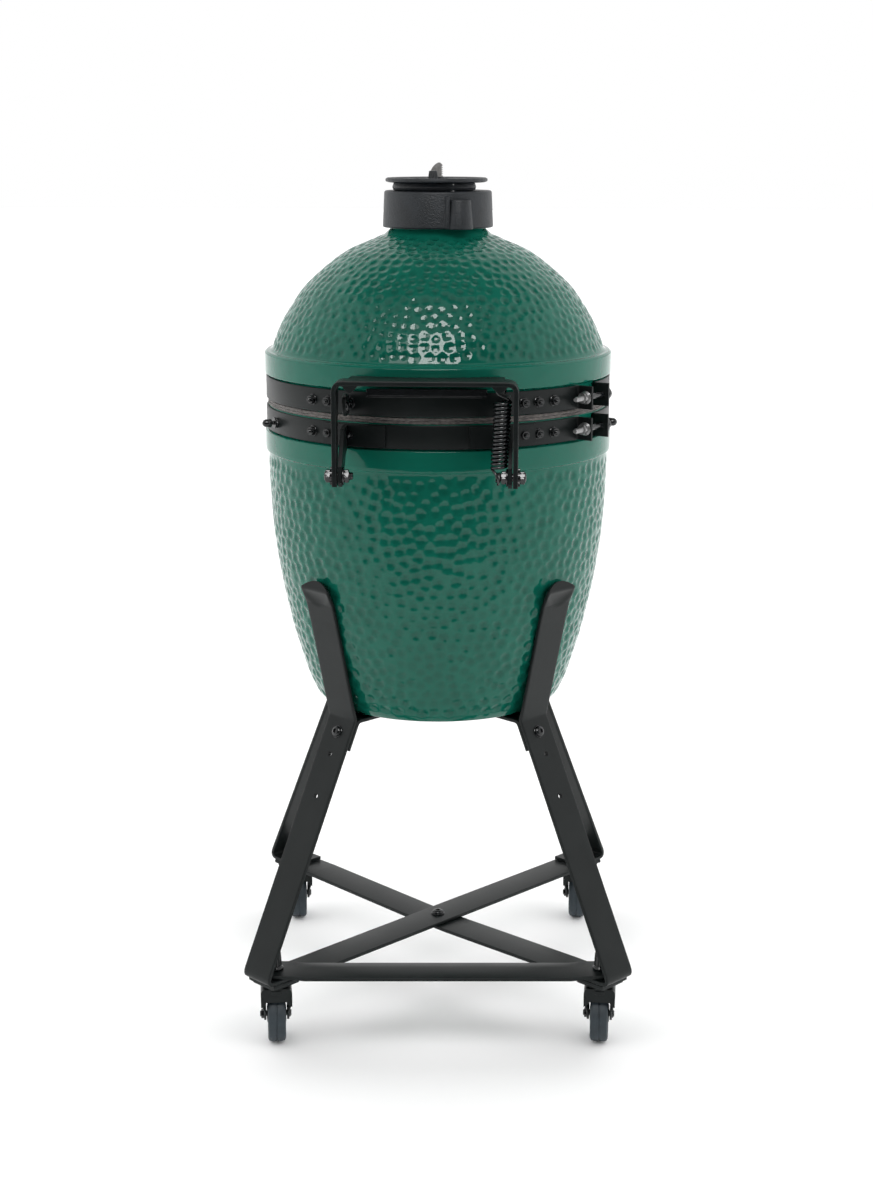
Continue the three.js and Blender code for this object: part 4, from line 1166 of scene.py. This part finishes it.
def fork():
    """One strip folded over the wheel and waisted at the axle, with a hood across its front edge and
    a dome over its bearing. The axle bolt is returned beside it."""
    low, top, half = 28.5, 84.6, 19.5
    at_axle = half - 4

    def edges(p):
        """Back and front edge of the strip at a height."""
        z = min(p.y, 64)
        front = -5 + 24 * max(0.0, z - 29.5) / 34.5 - 3 * min(1.0, max(0.0, (p.y - 72) / 8))
        back = -24 + 3 * min(1.0, max(0.0, (p.y - 46) / 30))
        round_end = max(0.0, (37 - p.y) / 8.5)
        tuck = 9.5 * (1 - math.sqrt(max(0.02, 1 - round_end ** 2)))
        return back + tuck, front - tuck

    path = soften([(-at_axle, low), (-at_axle, 50), (-half, 66), (-half, top), (half, top),
                   (half, 66), (at_axle, 50), (at_axle, low)], 7, 6)
    strip = bar(finer(path, 3), lambda p: edges(p)[1] - edges(p)[0], 3, 0.7,
                middle=lambda p: sum(edges(p)) / 2)
    dome = turned([(0, 78), (19.5, 78), (19.5, 83.5), (17, 86), (0, 86)], 1.6, 64)
    out, over = half + 1.4, top + 1.4
    arch = soften([(-out, 60), (-out, over), (out, over), (out, 60)], 7, 6)
    hood = prism([*arch, (half - 3, 62), (half - 5.5, 67), (5.5 - half, 67), (3 - half, 62)], 15, 18)
    shank = lathe([(0, -20), (4, -20), (4, 21.6), (3.2, 22.4), (0, 22.4)], 24)
    head = button_head(6, 3).moved(turn(180, "X"), shift(z=-17))
    bolt = nut(5.6, 3.8).lifted(17) + shank + head
    return (strip + hood).moved(SIDE_VIEW) + dome, bolt.moved(turn(90, "X"), shift(AXLE[0], 0, AXLE[1]))


def wheel():
    """Tread with two fine grooves on a lighter hub with a raised ring on each side."""
    tread = [(37.5, 1.2), (37.5, 7), (36.6, 10.4), (33.5, 12), (26, 11)]
    hub = [(29.4, 11.6), (26, 11.4), (24, 8.6), (15, 8.6), (12.4, 12), (11, 13), (4.4, 13)]
    groove = [(36.6, -0.7), (36.6, 0.7)]
    tread = [*[(r, -z) for r, z in reversed(tread)], *groove, *tread]
    hub = [*[(r, -z) for r, z in reversed(hub)], *hub]
    form = turned(tread, 0.7, 96, steps=3).painted(0) + turned(hub, 0.9, 72, steps=3).painted(1)
    return form.moved(turn(90, "X"), shift(AXLE[0], 0, AXLE[1]))


def pedal():
    """Brake lever that reaches back over the wheel."""
    side = soften([(-6, 77.3), (-6, 80.6), (-26, 82), (-52, 78.6), (-55, 75.4), (-54, 73.6),
                   (-28, 77.6)], 1.4, 3, closed=True)
    return prism(side, -14, 14).moved(turn(90, "X"))


def casters():
    frames, axle_form = fork()
    for name, angle in CORNERS.items():
        spot = polar(CASTER_R, angle)
        at = shift(spot.x, spot.y)
        heading = turn(CASTER_TURN[name.split("_")[1]])
        seat_z = 108.6 if name.startswith("rear") else 103.3
        plate, cap = caster_plate(angle, seat_z)
        add(f"caster_plate_{name}", plate.moved(at), POWDER, "nest", f"caster_stem_{name}", edge=0.4)
        add(f"caster_cap_nut_{name}", cap.moved(at), OXIDE, "nest")
        fork_body, wheel_body = f"caster_fork_{name}", f"caster_wheel_{name}"
        add(f"caster_yoke_{name}", frames.moved(heading, at), POWDER, fork_body, fork_body)
        add(f"caster_axle_{name}", axle_form.moved(heading, at), OXIDE, fork_body)
        add(f"caster_tyre_{name}", wheel().moved(heading, at), [RUBBER, HUB], wheel_body, wheel_body)
        if name.startswith("front"):
            brake = f"brake_pedal_{name}"
            add(f"brake_lever_{name}", pedal().moved(heading, at), POWDER, brake, brake, edge=0.5)


# ---- studio
CAMERA_ANGLE = 90 + NEST_TURN     # the camera stands behind the grill, on the hinge side
CAMERA_AWAY = 2670.3
CAMERA_HEIGHT = 1199.5
CAMERA_ASIDE = 2.0
CAMERA_PITCH = 13.35
PHOTO_LONG_SIDE = 1200
FOCAL_PIXELS = 1962.3             # focal length in the same units as the long side
# Greys that shiny surfaces mirror, by the angle round X in turns: 0.5 is level toward the camera,
# 0.75 straight up, and 0 and 1 are level behind the object.
ROOM_GREYS = ((0.0, 1.0), (0.25, 0.7), (0.40, 0.05), (0.625, 0.05), (0.650, 0.75), (0.705, 0.75),
              (0.730, 0.12), (0.790, 0.12), (0.830, 1.0), (1.0, 1.0))
SIDE_PANEL = 1.08                 # grey of the bright panels on the left and right
SIDE_EDGE = (0.56, 0.74)          # sideways part of the direction at which the panels begin and are full
DIFFUSE_GAIN = 1.95               # how much more the room lights matt surfaces than it shows in mirrors
FLOOR_END = 1.95                  # the white floor ends here toward the camera
FLOOR_HALF = 30.0
BOX_AIM = (0, 0.1, 0.85)          # where the soft boxes point


def camera():
    data = bpy.data.cameras.new("photo_camera")
    data.sensor_width = 36
    data.lens = FOCAL_PIXELS * data.sensor_width / PHOTO_LONG_SIDE
    data.clip_end = 100
    cam = in_scene("photo_camera", data)
    cam.location = (polar(CAMERA_AWAY, CAMERA_ANGLE, CAMERA_HEIGHT) + Vector((CAMERA_ASIDE, 0, 0))) * MM
    cam.rotation_euler = (math.radians(90 - CAMERA_PITCH), 0, math.radians(CAMERA_ANGLE + 90))
    SCENE.camera = cam


def soft_light(name, place, size, power):
    """Box that shiny surfaces mirror. It leaves the matt shading to the room."""
    data = bpy.data.lights.new(name, "AREA")
    data.shape = "RECTANGLE"
    data.size, data.size_y = size
    data.energy = power
    lamp = in_scene(name, data)
    lamp.location = place
    lamp.rotation_euler = (Vector(BOX_AIM) - Vector(place)).to_track_quat("-Z", "Y").to_euler()
    lamp.visible_camera = False
    lamp.visible_diffuse = False


def room(tree):
    """What shiny surfaces mirror, by direction: bright panels at the sides, white behind the object,
    and dark on the camera side but for a strip high up."""
    split = tree.nodes.new("ShaderNodeSeparateXYZ")
    tree.links.new(tree.nodes.new("ShaderNodeTexCoord").outputs["Generated"], split.inputs[0])

    def maths(kind, *values):
        made = tree.nodes.new("ShaderNodeMath")
        made.operation = kind
        for value, socket in zip(values, made.inputs):
            feed(tree, socket, value)
        return made.outputs[0]

    angle = maths("ARCTAN2", split.outputs["Z"], split.outputs["Y"])
    place = maths("MULTIPLY_ADD", angle, 1 / math.tau, 0.5)
    greys = ramp(tree, place, *[(at, (grey, grey, grey)) for at, grey in ROOM_GREYS])
    side = node(tree, "ShaderNodeMapRange", Value=maths("ABSOLUTE", split.outputs["X"]),
                From_Min=SIDE_EDGE[0], From_Max=SIDE_EDGE[1])
    side.interpolation_type = "SMOOTHSTEP"
    return mixed(tree, "MIX", side.outputs["Result"], greys, (SIDE_PANEL, SIDE_PANEL, SIDE_PANEL, 1))


def surroundings():
    """The camera sees plain white; everything else sees the room."""
    world = bpy.data.worlds.new("studio")
    world.use_nodes = True
    world.cycles.sampling_method = "NONE"
    tree = world.node_tree
    white = tree.nodes["Background"]
    white.inputs["Color"].default_value = (1, 1, 1, 1)
    ray = tree.nodes.new("ShaderNodeLightPath")
    gain = spread(tree, ray.outputs["Is Diffuse Ray"], 1.0, DIFFUSE_GAIN)
    mirrored = node(tree, "ShaderNodeBackground", Color=room(tree), Strength=gain)
    mix = node(tree, "ShaderNodeMixShader", Fac=ray.outputs["Is Camera Ray"])
    tree.links.new(mirrored.outputs[0], mix.inputs[1])
    tree.links.new(white.outputs[0], mix.inputs[2])
    tree.links.new(mix.outputs[0], tree.nodes["World Output"].inputs["Surface"])
    SCENE.world = world


def floor():
    mesh = bpy.data.meshes.new("studio_floor")
    corners = [(-FLOOR_HALF, -FLOOR_HALF), (FLOOR_HALF, -FLOOR_HALF), (FLOOR_HALF, FLOOR_END),
               (-FLOOR_HALF, FLOOR_END)]
    mesh.from_pydata([(x, y, 0) for x, y in corners], [], [(0, 1, 2, 3)])
    mesh.materials.append(finish("floor_white", (0.995, 0.995, 0.995), 1.0, Specular_IOR_Level=0.0)[0])
    in_scene("studio_floor", mesh)


def studio():
    """White floor and surroundings, with a soft box and a weaker one beside it on the camera side."""
    SCENE.view_settings.view_transform = "Standard"
    soft_light("front_box", (-0.05, 1.8, 2.4), (1.0, 0.8), 36)
    soft_light("side_box", (0.85, 1.75, 2.35), (0.6, 0.6), 4.5)
    surroundings()
    floor()


egg()
gaskets()
bands()
side_studs()
bail()
hinge_lugs()
pivot_bolts()
lift_spring()
collar()
cap_top()
lifting_fin()
handle()
thermometer()
draft_door()
firebox()
cooking_grid()
nest()
casters()
camera()
studio()
